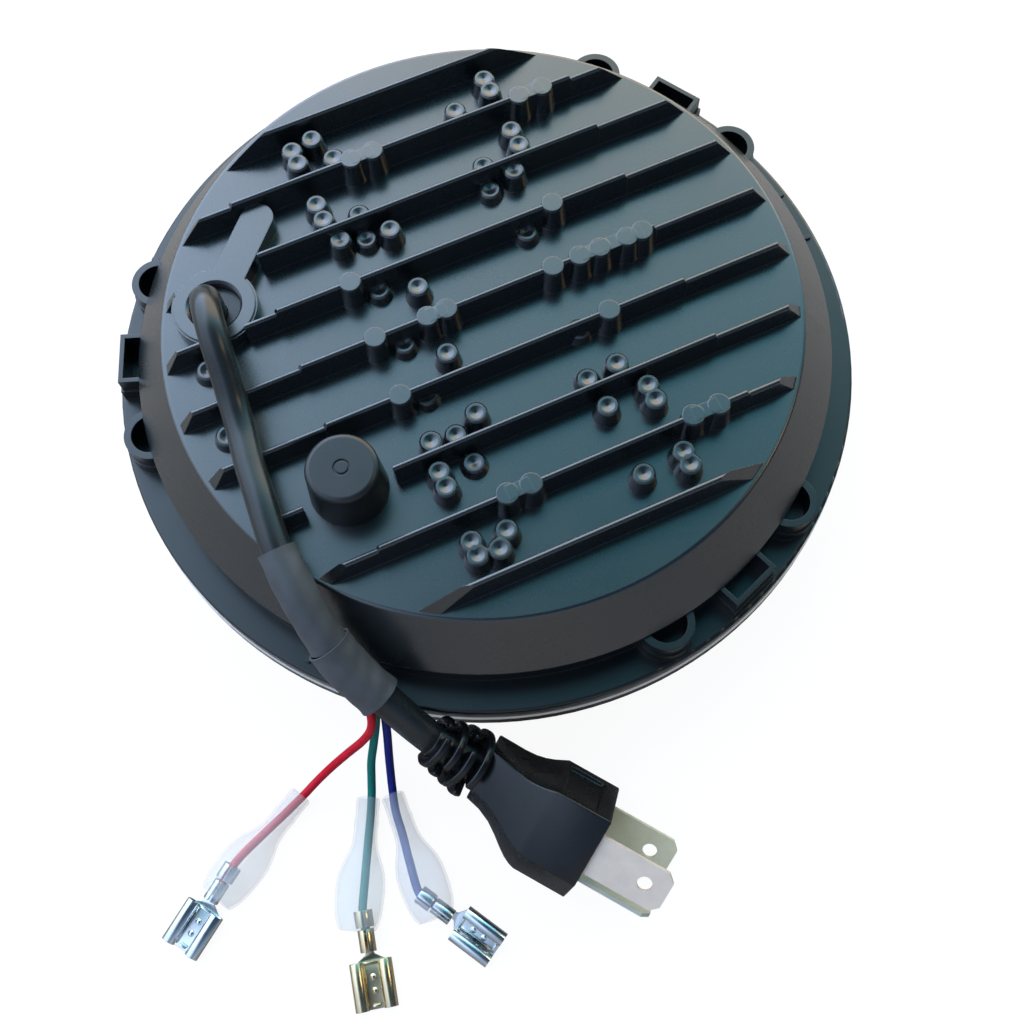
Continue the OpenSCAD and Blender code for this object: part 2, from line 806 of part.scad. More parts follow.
module rear_housing() {
    hole_r = boss_hole_d / 2;
    arm_v = arm_tip - boss_at;
    // the arm begins outside the chamfer, so that its top and the boss's don't meet inside it
    arm_start = hole_r + boss_chamfer + 0.2;
    color("#24292d") {
        difference() {
            union() {
                difference() {
                    sink_outside();
                    translate([0, 0, foot_z])
                        cylinder(
                            h = under_z - foot_z,
                            r1 = collar_bore_d / 2,
                            r2 = foot_d / 2 - (foot_d - plate_d) / 2 * (under_z - foot_z) / sink_h - side_wall);
                    translate([0, 0, foot_z - 1])
                        cylinder(h = 1, d = collar_bore_d);
                }
                translate([0, 0, plate_z])
                    rotate([0, 0, fin_turn]) {
                        fins();
                        pins();
                    }
                // boss round the cable and its stiffening arm
                translate([boss_at[0], boss_at[1], plate_z - root]) {
                    cylinder(h = boss_h + root - 0.4, d = boss_d);
                    cylinder(h = boss_h + root, d = boss_d - 0.8);
                    rotate([0, 0, atan2(arm_v[1], arm_v[0])]) {
                        translate([arm_start, -arm_w / 2, 0])
                            cube([norm(arm_v) - arm_start, arm_w, boss_h + root]);
                        translate([norm(arm_v), 0, 0])
                            cylinder(h = boss_h + root, d = arm_w);
                    }
                }
                translate([cap_at[0], cap_at[1], plate_z - root])
                    cylinder(h = spigot_h + root, d = spigot_d);
                // pedestals that take the heat of the two beams
                for (m = [-1, 1])
                    translate([0, m * beam_offset, pedestal_face_z])
                        cylinder(h = under_z - pedestal_face_z + root, d = led_board_d);
                // pillars of the driver board
                at_driver_pillars()
                    translate([0, 0, driver_face_z])
                        cylinder(h = under_z - driver_face_z + root, d = board_screw_d + 3);
                // pillars of the housing screws
                intersection() {
                    at_screws()
                        translate([0, 0, foot_z])
                            cylinder(h = under_z - foot_z + root, d = pillar_d);
                    sink_outside();
                }
            }
            translate([boss_at[0], boss_at[1], under_z - 1])
                cylinder(h = plate_t + boss_h + 2, r = hole_r);
            translate([boss_at[0], boss_at[1], plate_z + boss_h - boss_chamfer])
                cylinder(h = 2 * boss_chamfer, r1 = hole_r, r2 = hole_r + 2 * boss_chamfer);
            // air way through the spigot
            translate([cap_at[0], cap_at[1], under_z - 1])
                cylinder(h = plate_t + spigot_h + 2, d = 3);
            at_screws()
                translate([0, 0, foot_z - 1])
                    cylinder(h = screw_l - (foot_z - flange_z) + 1.5, d = screw_d + 2 * screw_gap);
            at_board_screws()
                translate([0, 0, -1])
                    cylinder(h = 5, d = board_screw_d + screw_gap);
            at_driver_pillars()
                translate([0, 0, driver_face_z - 1])
                    cylinder(h = 5, d = board_screw_d + screw_gap);
        }
    }
}

module at_driver_pillars() {
    for (mx = [-1, 1])
        for (my = [-1, 1])
            translate([driver_x + mx * (driver_w / 2 - 3), my * (driver_l / 2 - 3), 0])
                children();
}

// Two screws for each lamp board, at the face of its pedestal
module at_board_screws() {
    for (m = [-1, 1])
        for (q = [-1, 1])
            translate([q * (led_board_d / 2 - 2.6), m * beam_offset, pedestal_face_z])
                children();
}

module housing_screws() {
    color("silver") {
        at_screws() {
            translate([0, 0, flange_z - screw_head_h])
                difference() {
                    cylinder(h = screw_head_h, d = screw_head_d);
                    translate([0, 0, -1])
                        cylinder(h = 2, d = 2.2, $fn = 6);
                }
            translate([0, 0, flange_z - 0.1])
                cylinder(h = screw_l + 0.1, d = screw_d);
        }
    }
}

module inner_bezel() {
    wall_r = shelf_bore_d / 2 - 1.5;
    color("#17191b") {
        difference() {
            rotate_extrude() {
                translate([0, bezel_z])
                    square([wall_r, bezel_t]);
                translate([wall_r - bezel_t, bezel_z])
                    square([bezel_t, bezel_depth]);
                translate([wall_r - bezel_t, flange_z - 1.5])
                    square([collar_bore_d / 2 - 0.5 - wall_r + bezel_t, 1.5]);
            }
            for (m = [-1, 1])
                translate([0, m * beam_offset, bezel_z - 1])
                    cylinder(h = bezel_t + 2, d = beam_lens_d + 2 * bezel_gap);
            at_screws()
                translate([0, 0, flange_z - 3])
                    cylinder(h = 4, d = screw_head_d + 1.2);
        }
    }
}

module halo_light_guide() {
    color("#e9ecea") {
        rotate_extrude() {
            intersection() {
                translate([(halo_bore_d + halo_w) / 2, bezel_z - halo_h + halo_w / 2])
                    circle(halo_w / 2);
                translate([halo_bore_d / 2, bezel_z - halo_h])
                    square([halo_w, halo_w / 2]);
            }
            translate([halo_bore_d / 2, bezel_z - halo_h + halo_w / 2])
                square([halo_w, halo_h - halo_w / 2]);
        }
    }
}

module halo_board() {
    color("#e6e7e2") {
        translate([0, 0, bezel_z + bezel_t])
            difference() {
                cylinder(h = board_t, d = halo_bore_d + 2 * halo_w);
                translate([0, 0, -1])
                    cylinder(h = board_t + 2, d = halo_bore_d);
            }
    }
}

// Lens with a flat back on its reflector and a domed front
module beam_lens(side) {
    ball_r = (pow(beam_lens_d / 2 - 1, 2) + pow(beam_lens_dome, 2)) / 2 / beam_lens_dome;
    color("#e4ecee") {
        translate([0, side * beam_offset, reflector_z]) {
            translate([0, 0, -beam_lens_rim])
                cylinder(h = beam_lens_rim, d = beam_lens_d);
            intersection() {
                translate([0, 0, ball_r - beam_lens_rim - beam_lens_dome])
                    sphere(ball_r);
                translate([0, 0, -beam_lens_rim - beam_lens_dome - 1])
                    cylinder(h = beam_lens_dome + 2, d = beam_lens_d);
            }
        }
    }
}

module low_beam_lens() {
    beam_lens(1);
}

module high_beam_lens() {
    beam_lens(-1);
}

module reflector(side) {
    w = reflector_wall;
    color("#c9ccce") {
        translate([0, side * beam_offset, reflector_z]) {
            difference() {
                cylinder(h = reflector_h, d1 = beam_lens_d, d2 = reflector_back_d);
                translate([0, 0, -0.01])
                    cylinder(h = reflector_h + 0.02, d1 = beam_lens_d - 2 * w, d2 = reflector_back_d - 2 * w);
            }
        }
    }
}

module low_beam_reflector() {
    reflector(1);
}

module high_beam_reflector() {
    reflector(-1);
}

module led_board(side) {
    color("#f0efe8") {
        difference() {
            translate([0, side * beam_offset, board_face_z]) {
                cylinder(h = board_t, d = led_board_d);
                translate([-3.5, -3.5, -0.7])
                    cube([7, 7, 1]);
            }
            at_board_screws()
                translate([0, 0, -board_t - 1])
                    cylinder(h = board_t + 2, d = board_screw_d + 2 * screw_gap);
        }
    }
}

module low_beam_board() {
    led_board(1);
}

module high_beam_board() {
    led_board(-1);
}

module driver_board() {
    color("#2f5a3c") {
        difference() {
            union() {
                translate([driver_x - driver_w / 2, -driver_l / 2, driver_face_z - board_t])
                    cube([driver_w, driver_l, board_t]);
                translate([driver_x - coil_size[0] / 2, coil_y, driver_face_z - board_t - coil_size[2]])
                    cube([coil_size[0], coil_size[1], coil_size[2] + root]);
                translate([driver_x - chip_size[0] / 2, chip_y, driver_face_z - board_t - chip_size[2]])
                    cube([chip_size[0], chip_size[1], chip_size[2] + root]);
                translate([driver_x, 0, driver_face_z - board_t - can_h])
                    cylinder(h = can_h + root, d = can_d);
            }
            at_driver_pillars()
                translate([0, 0, driver_face_z - board_t - 1])
                    cylinder(h = board_t + 2, d = board_screw_d + 2 * screw_gap);
        }
    }
}

module small_screw(grip) {
    translate([0, 0, -grip - board_head_h])
        cylinder(h = board_head_h, d = board_head_d);
    translate([0, 0, -grip - 0.1])
        cylinder(h = grip + board_screw_bite + 0.1, d = board_screw_d);
}

module board_screws() {
    color("silver") {
        at_board_screws()
            small_screw(board_t);
        at_driver_pillars()
            translate([0, 0, driver_face_z])
                small_screw(board_t);
    }
}

module cable_gland() {
    color("#1a1a1a") {
        difference() {
            union() {
                translate([boss_at[0], boss_at[1], under_z - 2.8])
                    cylinder(h = gland_top_z - under_z + 2.8, d = gland_d);
                translate([boss_at[0], boss_at[1], under_z - 1.5])
                    cylinder(h = 1.5, d = boss_hole_d + 2.8);
            }
            translate([cable_at[0], cable_at[1], gland_top_z - socket_depth])
                cylinder(h = socket_depth + 1, d = cable_d + 2 * gland_gap);
        }
    }
}

module breather_cap() {
    e = cap_edge_r;
    color("#1c1e20") {
        translate([cap_at[0], cap_at[1], plate_z]) {
            rotate_extrude() {
                difference() {
                    union() {
                        polygon([
                            [0, 0],
                            [cap_base_d / 2, 0],
                            [cap_top_d / 2, cap_h - e],
                            [0, cap_h - e]
                        ]);
                        translate([cap_top_d / 2 - e, cap_h - e])
                            circle(e);
                        translate([0, cap_h - e - 0.5])
                            square([cap_top_d / 2 - e, e + 0.5]);
                    }
                    translate([-1, -1])
                        square([spigot_d / 2 + cap_gap + 1, spigot_h + cap_gap + 1]);
                    translate([1.1, cap_h - 0.25])
                        square([0.4, 1]);
                    translate([-20, -1])
                        square([20, cap_h + 2]);
                }
            }
        }
    }
}

module main_cable() {
    color("#202326")
        trunk_piece(0, upper_from, cable_d);
}

module upper_sleeve() {
    color("#3a3d40")
        trunk_piece(upper_from, lower_from, upper_sleeve_d);
}

module lower_sleeve() {
    color("#3f4245")
        trunk_piece(lower_from, lead_from, lower_sleeve_d);
}

module plug_lead() {
    color("#1e2124")
        swept(lead_route, lead_d, trunk_side, cord_sides_n, sleeve_dir, -relief_dir);
}

// Puts what is drawn with its mouth at the origin and facing +X where the plug lies
module at_plug() {
    translate(plug_at)
        rotate(plug_pose)
            children();
}

// Sections of the plug: at the box and at its back
module box_section() {
    h = plug_h / 2;
    polygon([
        [plug_plain_side, -h],
        [plug_plain_side, h],
        [-6.7, h],
        [-plug_keyed_side, h - 2.6],
        [-plug_keyed_side, 2.6 - h],
        [-6.7, -h]
    ]);
}

module back_section() {
    polygon([[6.6, -4.2], [6.6, 4.2], [-3.8, 4.6], [-5.4, 3], [-5.4, -3], [-3.8, -4.6]]);
}

module blade_slot(w, t) {
    translate([-blade_root - 0.2, -w / 2 - blade_gap, -t / 2 - blade_gap])
        cube([blade_root + 1.2, w + 2 * blade_gap, t + 2 * blade_gap]);
}

module plug_body() {
    color("#16181a") {
        at_plug() {
            difference() {
                union() {
                    translate([-box_l, 0, 0])
                        along_x(box_l)
                            box_section();
                    hull() {
                        translate([-box_l, 0, 0])
                            along_x(0.2)
                                box_section();
                        translate([-plug_l, 0, 0])
                            along_x(0.2)
                                back_section();
                    }
                }
                for (m = [-1, 1])
                    translate([0, 0, m * blade_sep / 2])
                        blade_slot(blade_w, blade_t);
                translate([0, -third_blade, 0])
                    blade_slot(blade_t, blade_w);
                // finger recess in the plain narrow face
                translate([-9.4, plug_plain_side - 0.8, -4])
                    cube([7, 2, 8]);
            }
        }
        from_to(relief_start, relief_end) {
            len_z = norm(relief_end - relief_start);
            cylinder(h = len_z, r1 = lead_d / 2 + 0.8, r2 = lead_d / 2 + 1.6);
            for (i = [0:rib_count - 1])
                translate([0, 0, (i + 0.25) * relief_l / rib_count])
                    difference() {
                        cylinder(h = 1.4, d = rib_d - (rib_count - 1 - i) * rib_step);
                        for (q = [0, 180])
                            rotate([0, 0, q + 90 * (i % 2) + 35])
                                translate([lead_d / 2 + 1.7, -1.1, -0.1])
                                    cube([rib_d, 2.2, 1.6]);
                    }
        }
    }
}

// Flat blade along +X with a chamfered tip and a hole, lying level
module blade() {
    w = blade_w / 2;
    difference() {
        translate([0, 0, -blade_t / 2])
            linear_extrude(blade_t)
                polygon([
                    [-blade_root, -w],
                    [blade_l - blade_chamfer, -w],
                    [blade_l, blade_chamfer - w],
                    [blade_l, w - blade_chamfer],
                    [blade_l - blade_chamfer, w],
                    [-blade_root, w]
                ]);
        translate([blade_hole_x, 0, -1])
            cylinder(h = 2, d = blade_hole_d);
    }
}

module front_blade() {
    color("#b9a8a0")
        at_plug()
            translate([0, 0, blade_sep / 2])
                blade();
}

module rear_blade() {
    color("#c4b999")
        at_plug()
            translate([0, 0, -blade_sep / 2])
                blade();
}

module side_blade() {
    color("#a8aa9c")
        at_plug()
            translate([0, -third_blade, 0])
                rotate([90, 0, 0])
                    blade();
}

// Wire from the end face of the sleeve into its terminal
module wire(route, pose) {
    swept(route, wire_d, wire_side, wire_sides_n, sleeve_dir, term_dir(pose));
}

module red_wire() {
    color("#d4102a")
        wire(red_route, red_pose);
}

module green_wire() {
    color("#0c7f74")
        wire(green_route, green_pose);
}

module blue_wire() {
    color("#14288c")
        wire(blue_route, blue_pose);
}

// Clear boot: open shell that widens from a round neck to a flat oval
module boot(at, turn) {
    n = boot_sides_n;
    m = len(boot_stations) - 1;
    function half_w(g) = (boot_neck_d + g * (boot_w - boot_neck_d)) / 2;
    function half_h(g) = (boot_neck_d + g * (boot_h - boot_neck_d)) / 2;
    function one(wall) = [for (s = boot_stations) for (k = [0:n - 1])
        [s[0] * boot_l,
         (half_w(s[1]) - wall) * cos(360 * k / n),
         half_h(s[1]) + (half_h(s[1]) - wall) * sin(360 * k / n)]];
    o = (m + 1) * n;
    translate([at[0], at[1], boot_lift])
        rotate([0, 0, turn])
            polyhedron(
                points = concat(one(0), one(boot_wall)),
                faces = concat(
                    [for (i = [0:m - 1]) for (k = [0:n - 1])
                        [i * n + k, (i + 1) * n + k, (i + 1) * n + (k + 1) % n, i * n + (k + 1) % n]],
                    [for (i = [0:m - 1]) for (k = [0:n - 1])
                        [o + i * n + k, o + i * n + (k + 1) % n,
                         o + (i + 1) * n + (k + 1) % n, o + (i + 1) * n + k]],
                    [for (k = [0:n - 1]) [k, (k + 1) % n, o + (k + 1) % n, o + k]],
                    [for (k = [0:n - 1])
                        [m * n + (k + 1) % n, m * n + k, o + m * n + k, o + m * n + (k + 1) % n]]));
}

module red_boot() {
    color("#f2d9da", 0.6)
        boot(red_boot_at, red_boot_turn);
}

module green_boot() {
    color("#e6eeee", 0.6)
        boot(green_boot_at, green_boot_turn);
}

module blue_boot() {
    color("#dcdce2", 0.6)
        boot(blue_boot_at, blue_boot_turn);
}

// Push-on terminal along +X, its wire's axis on the X axis
module terminal(at, pose) {
    floor_z = -grip_d / 2;
    roll_r = term_h / 2;
    roll_y = term_w / 2 - roll_r;
    translate(at)
        rotate(pose) {
            // crimp round the insulation
            difference() {
                rotate([0, 90, 0])
                    cylinder(h = grip_l, d = grip_d);
                rotate([0, 90, 0])
                    translate([0, 0, -1])
                        cylinder(h = grip_l + 2, d = wire_d + 0.2);
            }
            // strap that joins the two crimps
            translate([grip_l - 0.5, -0.7, floor_z])
                cube([1.4, 1.4, term_t]);
            // crimp on the bare wire
            translate([barrel_x, 0, 0])
                rotate([0, 90, 0])
                    difference() {
                        cylinder(h = barrel_l, d = barrel_d);
                        translate([-barrel_d / 2 - 0.1, 0, -1])
                            cylinder(h = barrel_l + 2, r = 0.45);
                    }
            translate([barrel_x, -0.7, floor_z])
                cube([barrel_l + term_neck + 0.2, 1.4, term_t + 0.2]);
            // receptacle with rolled edges
            translate([receptacle_x, 0, floor_z])
                along_x(term_l) {
                    translate([-roll_y, 0])
                        square([2 * roll_y, term_t]);
                    for (m = [-1, 1])
                        translate([m * roll_y, roll_r])
                            difference() {
                                circle(roll_r);
                                circle(roll_r - term_t);
                                translate([m > 0 ? -roll_r : 0, term_t - roll_r])
                                    square([roll_r, roll_r - term_t - 0.15]);
                            }
                }
            // stop tab across the back of the receptacle
            translate([receptacle_x - 0.2, -1.6, floor_z])
                cube([0.8, 3.2, 1.3]);
        }
}

module red_terminal() {
    color("#c8cfcf")
        terminal(red_term, red_pose);
}

module green_terminal() {
    color("#c9a464")
        terminal(green_term, green_pose);
}

module blue_terminal() {
    color("#cfc7b4")
        terminal(blue_term, blue_pose);
}

lens();
lens_seal();
mounting_ring();
housing_gasket();
rear_housing();
housing_screws();
inner_bezel();
halo_light_guide();
halo_board();
low_beam_lens();
high_beam_lens();
low_beam_reflector();
high_beam_reflector();
low_beam_board();
high_beam_board();
driver_board();
board_screws();
cable_gland();
breather_cap();
main_cable();
upper_sleeve();
lower_sleeve();
plug_lead();
plug_body();
front_blade();
rear_blade();
side_blade();
red_wire();
green_wire();
blue_wire();
red_boot();
green_boot();
blue_boot();
red_terminal();
green_terminal();
blue_terminal();
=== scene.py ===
"""Looks of the round motorcycle headlight that lies on its lens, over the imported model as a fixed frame."""
import math

import bmesh
import bpy
from mathutils import Euler, Matrix, Vector


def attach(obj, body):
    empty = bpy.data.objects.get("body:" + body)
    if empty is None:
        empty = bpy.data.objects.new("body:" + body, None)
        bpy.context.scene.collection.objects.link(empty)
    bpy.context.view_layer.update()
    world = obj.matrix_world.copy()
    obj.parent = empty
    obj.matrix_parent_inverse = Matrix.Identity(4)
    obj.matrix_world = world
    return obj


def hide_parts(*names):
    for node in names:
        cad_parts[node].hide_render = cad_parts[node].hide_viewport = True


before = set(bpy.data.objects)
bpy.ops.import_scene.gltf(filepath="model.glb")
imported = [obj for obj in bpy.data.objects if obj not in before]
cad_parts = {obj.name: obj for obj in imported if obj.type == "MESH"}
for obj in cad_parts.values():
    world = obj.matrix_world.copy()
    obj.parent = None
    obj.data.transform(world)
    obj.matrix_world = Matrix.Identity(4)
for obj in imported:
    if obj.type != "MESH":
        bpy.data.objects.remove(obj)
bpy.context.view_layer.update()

bl_info = {
    "name": "Round headlight looks",
    "version": (1, 0, 0),
    "blender": (4, 5, 0),
    "location": "View3D > Sidebar > Headlight",
    "description": "Cords, plug, boots, terminals and finishes of a round motorcycle headlight",
    "category": "Object",
}

# The constants are in millimetres, apart from the lamp's, which are in metres
MM = 0.001

# Route of the cable from the cable boss to the plug, point by point
CABLE_ROUTE = [
    (-50.1, -1.6, 38.6), (-50.1, -1.6, 42.8), (-49.9, -2.2, 46.5), (-49.1, -4.4, 50.3),
    (-47.9, -7.6, 52.8), (-46.6, -11.4, 53.4), (-45.4, -15.2, 52.3), (-44.1, -19.2, 49.9),
    (-42.9, -23.4, 47.6), (-41.4, -28.2, 46.5), (-39.4, -34.6, 46.5), (-37, -41.1, 46.6),
    (-35.4, -45.6, 46.3), (-33.8, -49.8, 45.6), (-31.6, -54.3, 44.1), (-29.3, -58.3, 42),
    (-27.4, -61.4, 39.7), (-25.5, -64.1, 37.2), (-22.92, -66.91, 34.78), (-19.9, -69.5, 32.6),
    (-16.8, -71.7, 30.3), (-14.0, -73.8, 27.4), (-11.25, -75.69, 24.07), (-8.83, -77.15, 20.48),
    (-8.1, -77.6, 19.5),
]
# Share of that route where the lead begins, how far before it the cable widens, and over what share
LEAD_BEGINS = 19 / 24
LEAD_EARLY = 0.03
LEAD_WIDENING = 0.05
# Shrunk sleeves: route, outer diameter and bore
UPPER_SLEEVE = (CABLE_ROUTE[13:18], 7.0, 3.0)
LOWER_SLEEVE = (CABLE_ROUTE[17:19] + [(-20.06, -69.41, 32.37), (-17.22, -71.6, 30.06)], 8.4, 3.75)
SLEEVE_INSET = 0.06
SLEEVE_MOUTH = 0.12
# Faint folds of a sleeve: height, phase in radians over its whole length, and number round it
SLEEVE_FOLDS = [(0.05, 9, 2), (0.035, 23, -3)]

# Routes of the single wires, from the mouth of the lower sleeve into their terminals
WIRE_ROUTES = {
    "red": [
        (-19.84, -72.77, 28.45), (-19.07, -74.39, 26.17), (-19.6, -76, 22), (-21.6, -77.3, 17.6),
        (-25, -78.7, 12.4), (-28.6, -80.5, 7.6), (-31.8, -82.6, 4), (-34.6, -85.2, 2.4),
        (-38, -88.6, 2), (-42, -92.6, 2.1), (-45, -95.8, 2.5), (-47, -98.3, 2.72),
        (-48.77, -101.19, 2.48)],
    "green": [
        (-19.43, -71.17, 27.79), (-18.57, -72.69, 25.27), (-18.9, -74.4, 20.6), (-19.9, -77, 14.5),
        (-20.9, -79.6, 9), (-21.3, -82.2, 4.6), (-21.4, -85, 2.5), (-21.5, -89, 2),
        (-21.8, -95, 1.9), (-22, -101, 2.3), (-22.1, -106.2, 2.72), (-21.45, -109.53, 2.48)],
    "blue": [
        (-18.46, -69.67, 27.69), (-17.16, -71.54, 25.26), (-17.2, -73.4, 21), (-17.3, -75.6, 16),
        (-17.5, -78.4, 10.4), (-17.6, -81, 5.6), (-17.4, -84, 2.8), (-16.7, -88, 2.1),
        (-15.2, -92.4, 2), (-13.6, -97.6, 2.5), (-11.5, -103.2, 3.67), (-8.72, -105.15, 3.49)],
}

# Push-on terminals: start of the wire's axis, then roll, dip and turn in degrees
TERMINALS = {
    "red": ((-47, -98.3, 2.72), (0, 4, -121.5)),
    "green": ((-22.1, -106.2, 2.72), (0, 4, -79)),
    "blue": ((-11.5, -103.2, 3.67), (30, 3, -35)),
}
GRIP_LENGTH = 3
BARREL_START = 3.4
BARREL_LENGTH = 4
RECEPTACLE_START = 9
RECEPTACLE_LENGTH = 8.5
TERMINAL_WIDTH = 7.6
ROLL_HEIGHT = 2.3
GRIP_RADIUS = 1.4
NECK_LENGTH = 0.5
NECK_HALF_WIDTH = 0.9
# Steps of the sheet from its neck to the end of its grip: distance, half the new width and rise
CRIMP_STEPS = [(-0.5, 0.7, 0.25), (-BARREL_LENGTH, 0.7, 0), (-0.4, 0.7, -0.25), (-GRIP_LENGTH, 0.75, 0)]
SHEET_THICKNESS = 0.32
SHEET_EDGE = 0.06
# How far the folded edges swing, in degrees: rolls, barrel and grip
ROLL_SWING = 292
BARREL_SWING = 140
GRIP_SWING = 145
# Bent tabs across the receptacle, by distance from its start and width, and its dimples, by distance
STOP_TABS = [(0.3, 3.0), (RECEPTACLE_LENGTH - 0.6, 1.4)]
TAB_HEIGHT = 0.9
TAB_THICKNESS = 0.4
DIMPLES = (2.9, 5.3)
DIMPLE_RADIUS = 0.75
DIMPLE_DROP = 0.15
DIMPLE_FLATNESS = 0.65

# Clear boots: middle of the narrow end on the ground, and turn in degrees
BOOTS = {
    "red": ((-34.9, -84.9), -127.5),
    "green": ((-22, -85.4), -92.3),
    "blue": ((-17.5, -84.8), -68),
}
BOOT_TINTS = {"red": (1.0, 0.97, 0.96), "green": (0.97, 1.0, 1.0), "blue": (0.95, 0.95, 1.0)}
BOOT_LENGTH = 24.5
BOOT_NECK = 4.3
BOOT_WIDTH = 9.4
BOOT_HEIGHT = 5.8
BOOT_LIFT = 0.05
BOOT_WALL = 0.45
BOOT_FIRST_GROWTH = -0.04
# Stations along a boot: share of its length, and of its growth from neck to full width
BOOT_STATIONS = [
    (0.02, 0.07), (0.05, 0.05), (0.18, 0.03), (0.2, 0.12), (0.225, 0.04), (0.34, 0.08), (0.4, 0.2),
    (0.47, 0.5), (0.54, 0.8), (0.62, 0.97), (0.7, 1.0), (0.8, 0.98), (0.88, 0.9), (0.94, 0.76),
    (0.98, 0.58), (1.0, 0.46),
]

# Pins that stand in a fin: row of the fin, then groups of pins that run together along it
FIN_PIN_GROUPS = [
    (3, [[-10.8, -6.4], [24.6, 29.5]]),
    (1, [[-20.9], [20.2]]),
    (0, [[-21], [-10.6, -6.9], [14.6], [20.1, 24.2, 29.8, 32.9]]),
    (-1, [[-21.2], [20.1]]),
    (-3, [[-11.4, -6.9], [24.5, 29.6]]),
]
FIN_PITCH = 12.58
FIN_TURN = 24.4
FIN_CREST = 44.6
FIN_FOOT = 38.8
PIN_TOP_WIDTH = 4.1
PIN_TOP_DEPTH = 0.6
PIN_TOP_PROUD = 0.02
PIN_WEB_WIDTH = 2.7
PIN_WEB_DRAFT = 1.3

# Plug: middle of its mouth, then roll, dip and turn in degrees; it faces its own +X
PLUG_AT = (21.3, -93.6, 11.1)
PLUG_POSE = (30.5, 6.4, -28.1)
PLUG_BACK = (-23.5, 0.6, 0)
# Blades: node, finish and tone. The rear blade's creamier, brighter tone is partly its own and partly painted
# light, raised to stand in for the light that the front blade's shade takes from it
BLADES = [
    ("front_blade", "pinkish tin", (0.95, 0.76, 0.62)),
    ("rear_blade", "creamy tin", (0.98, 0.88, 0.62)),
    ("side_blade", "grey tin", (0.70, 0.70, 0.58)),
]
BLADE_METALLIC = 0.2
BLADE_WEAR = 0.88
PLUG_BOX_LENGTH = 10.7
PLUG_HALF_HEIGHT = 8
PLUG_PLAIN_SIDE = 7.4
PLUG_KEYED_SIDE = 12.6
PLUG_CHAMFER_START = 6.7
PLUG_CHAMFER_DEPTH = 2.6
# Stations of the plug's waist: distance behind the mouth, its two sides and half its height
WAIST_STATIONS = [
    (11.8, 7.0, 12.3, 7.6), (13.2, 6.5, 11.6, 7.1), (14.8, 6.1, 10.4, 6.6), (16.6, 5.9, 8.9, 6.1),
    (18.8, 6.0, 7.3, 5.5), (21.4, 6.3, 6.1, 4.9), (24.4, 6.6, 5.4, 4.3),
]
RELIEF_FROM = (-8.83, -77.15, 20.48)
RELIEF_LENGTH = 10.4
RELIEF_RIBS = 4
RELIEF_WIDEST = 13.4
RELIEF_STEP = 1.1
RELIEF_RUN_IN = 1.6
RELIEF_CORE = (3.3, 3.9)
RIB_INSIDE = 3
RIB_THICKNESS = 1.45
RIB_SWING = 152
RIB_TURN = 49
# Finger recess: margin round it, how far it sits back, and its depth
RECESS_MARGIN = 1.8
RECESS_BACK = 1.1
RECESS_DEPTH = 0.8

# Camera: place and the directions of its own axes, fitted to the photograph
CAMERA_AT = (10.11, -116.50, 246.12)
CAMERA_AXES = ((0.99982, 0.00654, -0.01783), (0.0, 0.93879, 0.34447), (0.01899, -0.34441, 0.93862))
CAMERA_LENS = 43.94
CAMERA_SENSOR = 36

# Tones of the room from in front of the lamp, over it, to behind it
ROOM_TONES = [
    (0.0, (0.16, 0.16, 0.16)), (0.1, (0.06, 0.09, 0.14)), (0.28, (0.015, 0.022, 0.035)),
    (0.56, (0.0, 0.012, 0.022)), (0.62, (0.02, 0.07, 0.09)), (0.68, (0.06, 0.26, 0.33)),
    (0.75, (0.18, 0.42, 0.54)), (0.80, (0.54, 0.72, 0.78)), (0.86, (1.0, 0.86, 0.64)),
    (1.0, (0.8, 0.68, 0.55)),
]
ROOM_LEAN = 0.12
# Tones of the window on the left from far to near, and where it fades in along each axis
WINDOW_TONES = [(0.0, (0.4, 0.48, 0.58)), (0.4, (0.6, 0.78, 1.05)), (0.65, (0.9, 1.1, 1.5))]
WINDOW_FADES = {"X": (0.0, -0.35), "Z": (1.0, 0.8), "Y": (-0.9, 0.4)}
# Floor as each kind of ray sees it: its own glow and its matt colour
FLOOR_LOOKS = [
    (None, 0.0, (0.38, 0.31, 0.26)),
    ("Is Transmission Ray", 0.2, (0.66, 0.66, 0.66)),
    ("Is Camera Ray", 0.93, (0.12, 0.12, 0.12)),
]
FLOOR_DROP = 0.05
# Warm lamp on the right: place, aim and width in metres, then watts and colour
LAMP_AT = (0.75, 0.1, 0.75)
LAMP_AIM = (0, 0, 0.03)
LAMP_WIDTH = 0.25
LAMP_POWER = 0.9
LAMP_COLOUR = (1.0, 0.72, 0.42)


def metres(point):
    return Vector(point) * MM


def turned(pose):
    """Rotation of a piece from its roll, dip and turn in degrees"""
    return Euler([math.radians(a) for a in pose], "XYZ").to_matrix().to_4x4()


def looks():
    return bpy.context.scene.headlight_looks


# Selection and edit mode

def alone(obj):
    """Makes obj the only selected object and the active one, in object mode"""
    if bpy.context.object and bpy.context.object.mode != "OBJECT":
        bpy.ops.object.mode_set(mode="OBJECT")
    bpy.ops.object.select_all(action="DESELECT")
    if obj:
        obj.select_set(True)
        bpy.context.view_layer.objects.active = obj


def edit(obj):
    alone(obj)
    bpy.ops.object.mode_set(mode="EDIT")


def done():
    bpy.ops.object.mode_set(mode="OBJECT")


def settled(size=(1, 1, 1)):
    """The newest primitive, scaled to a size, with its place put into its mesh"""
    bpy.context.object.scale = size
    bpy.ops.object.transform_apply(location=True, rotation=True, scale=True)
    return bpy.context.object


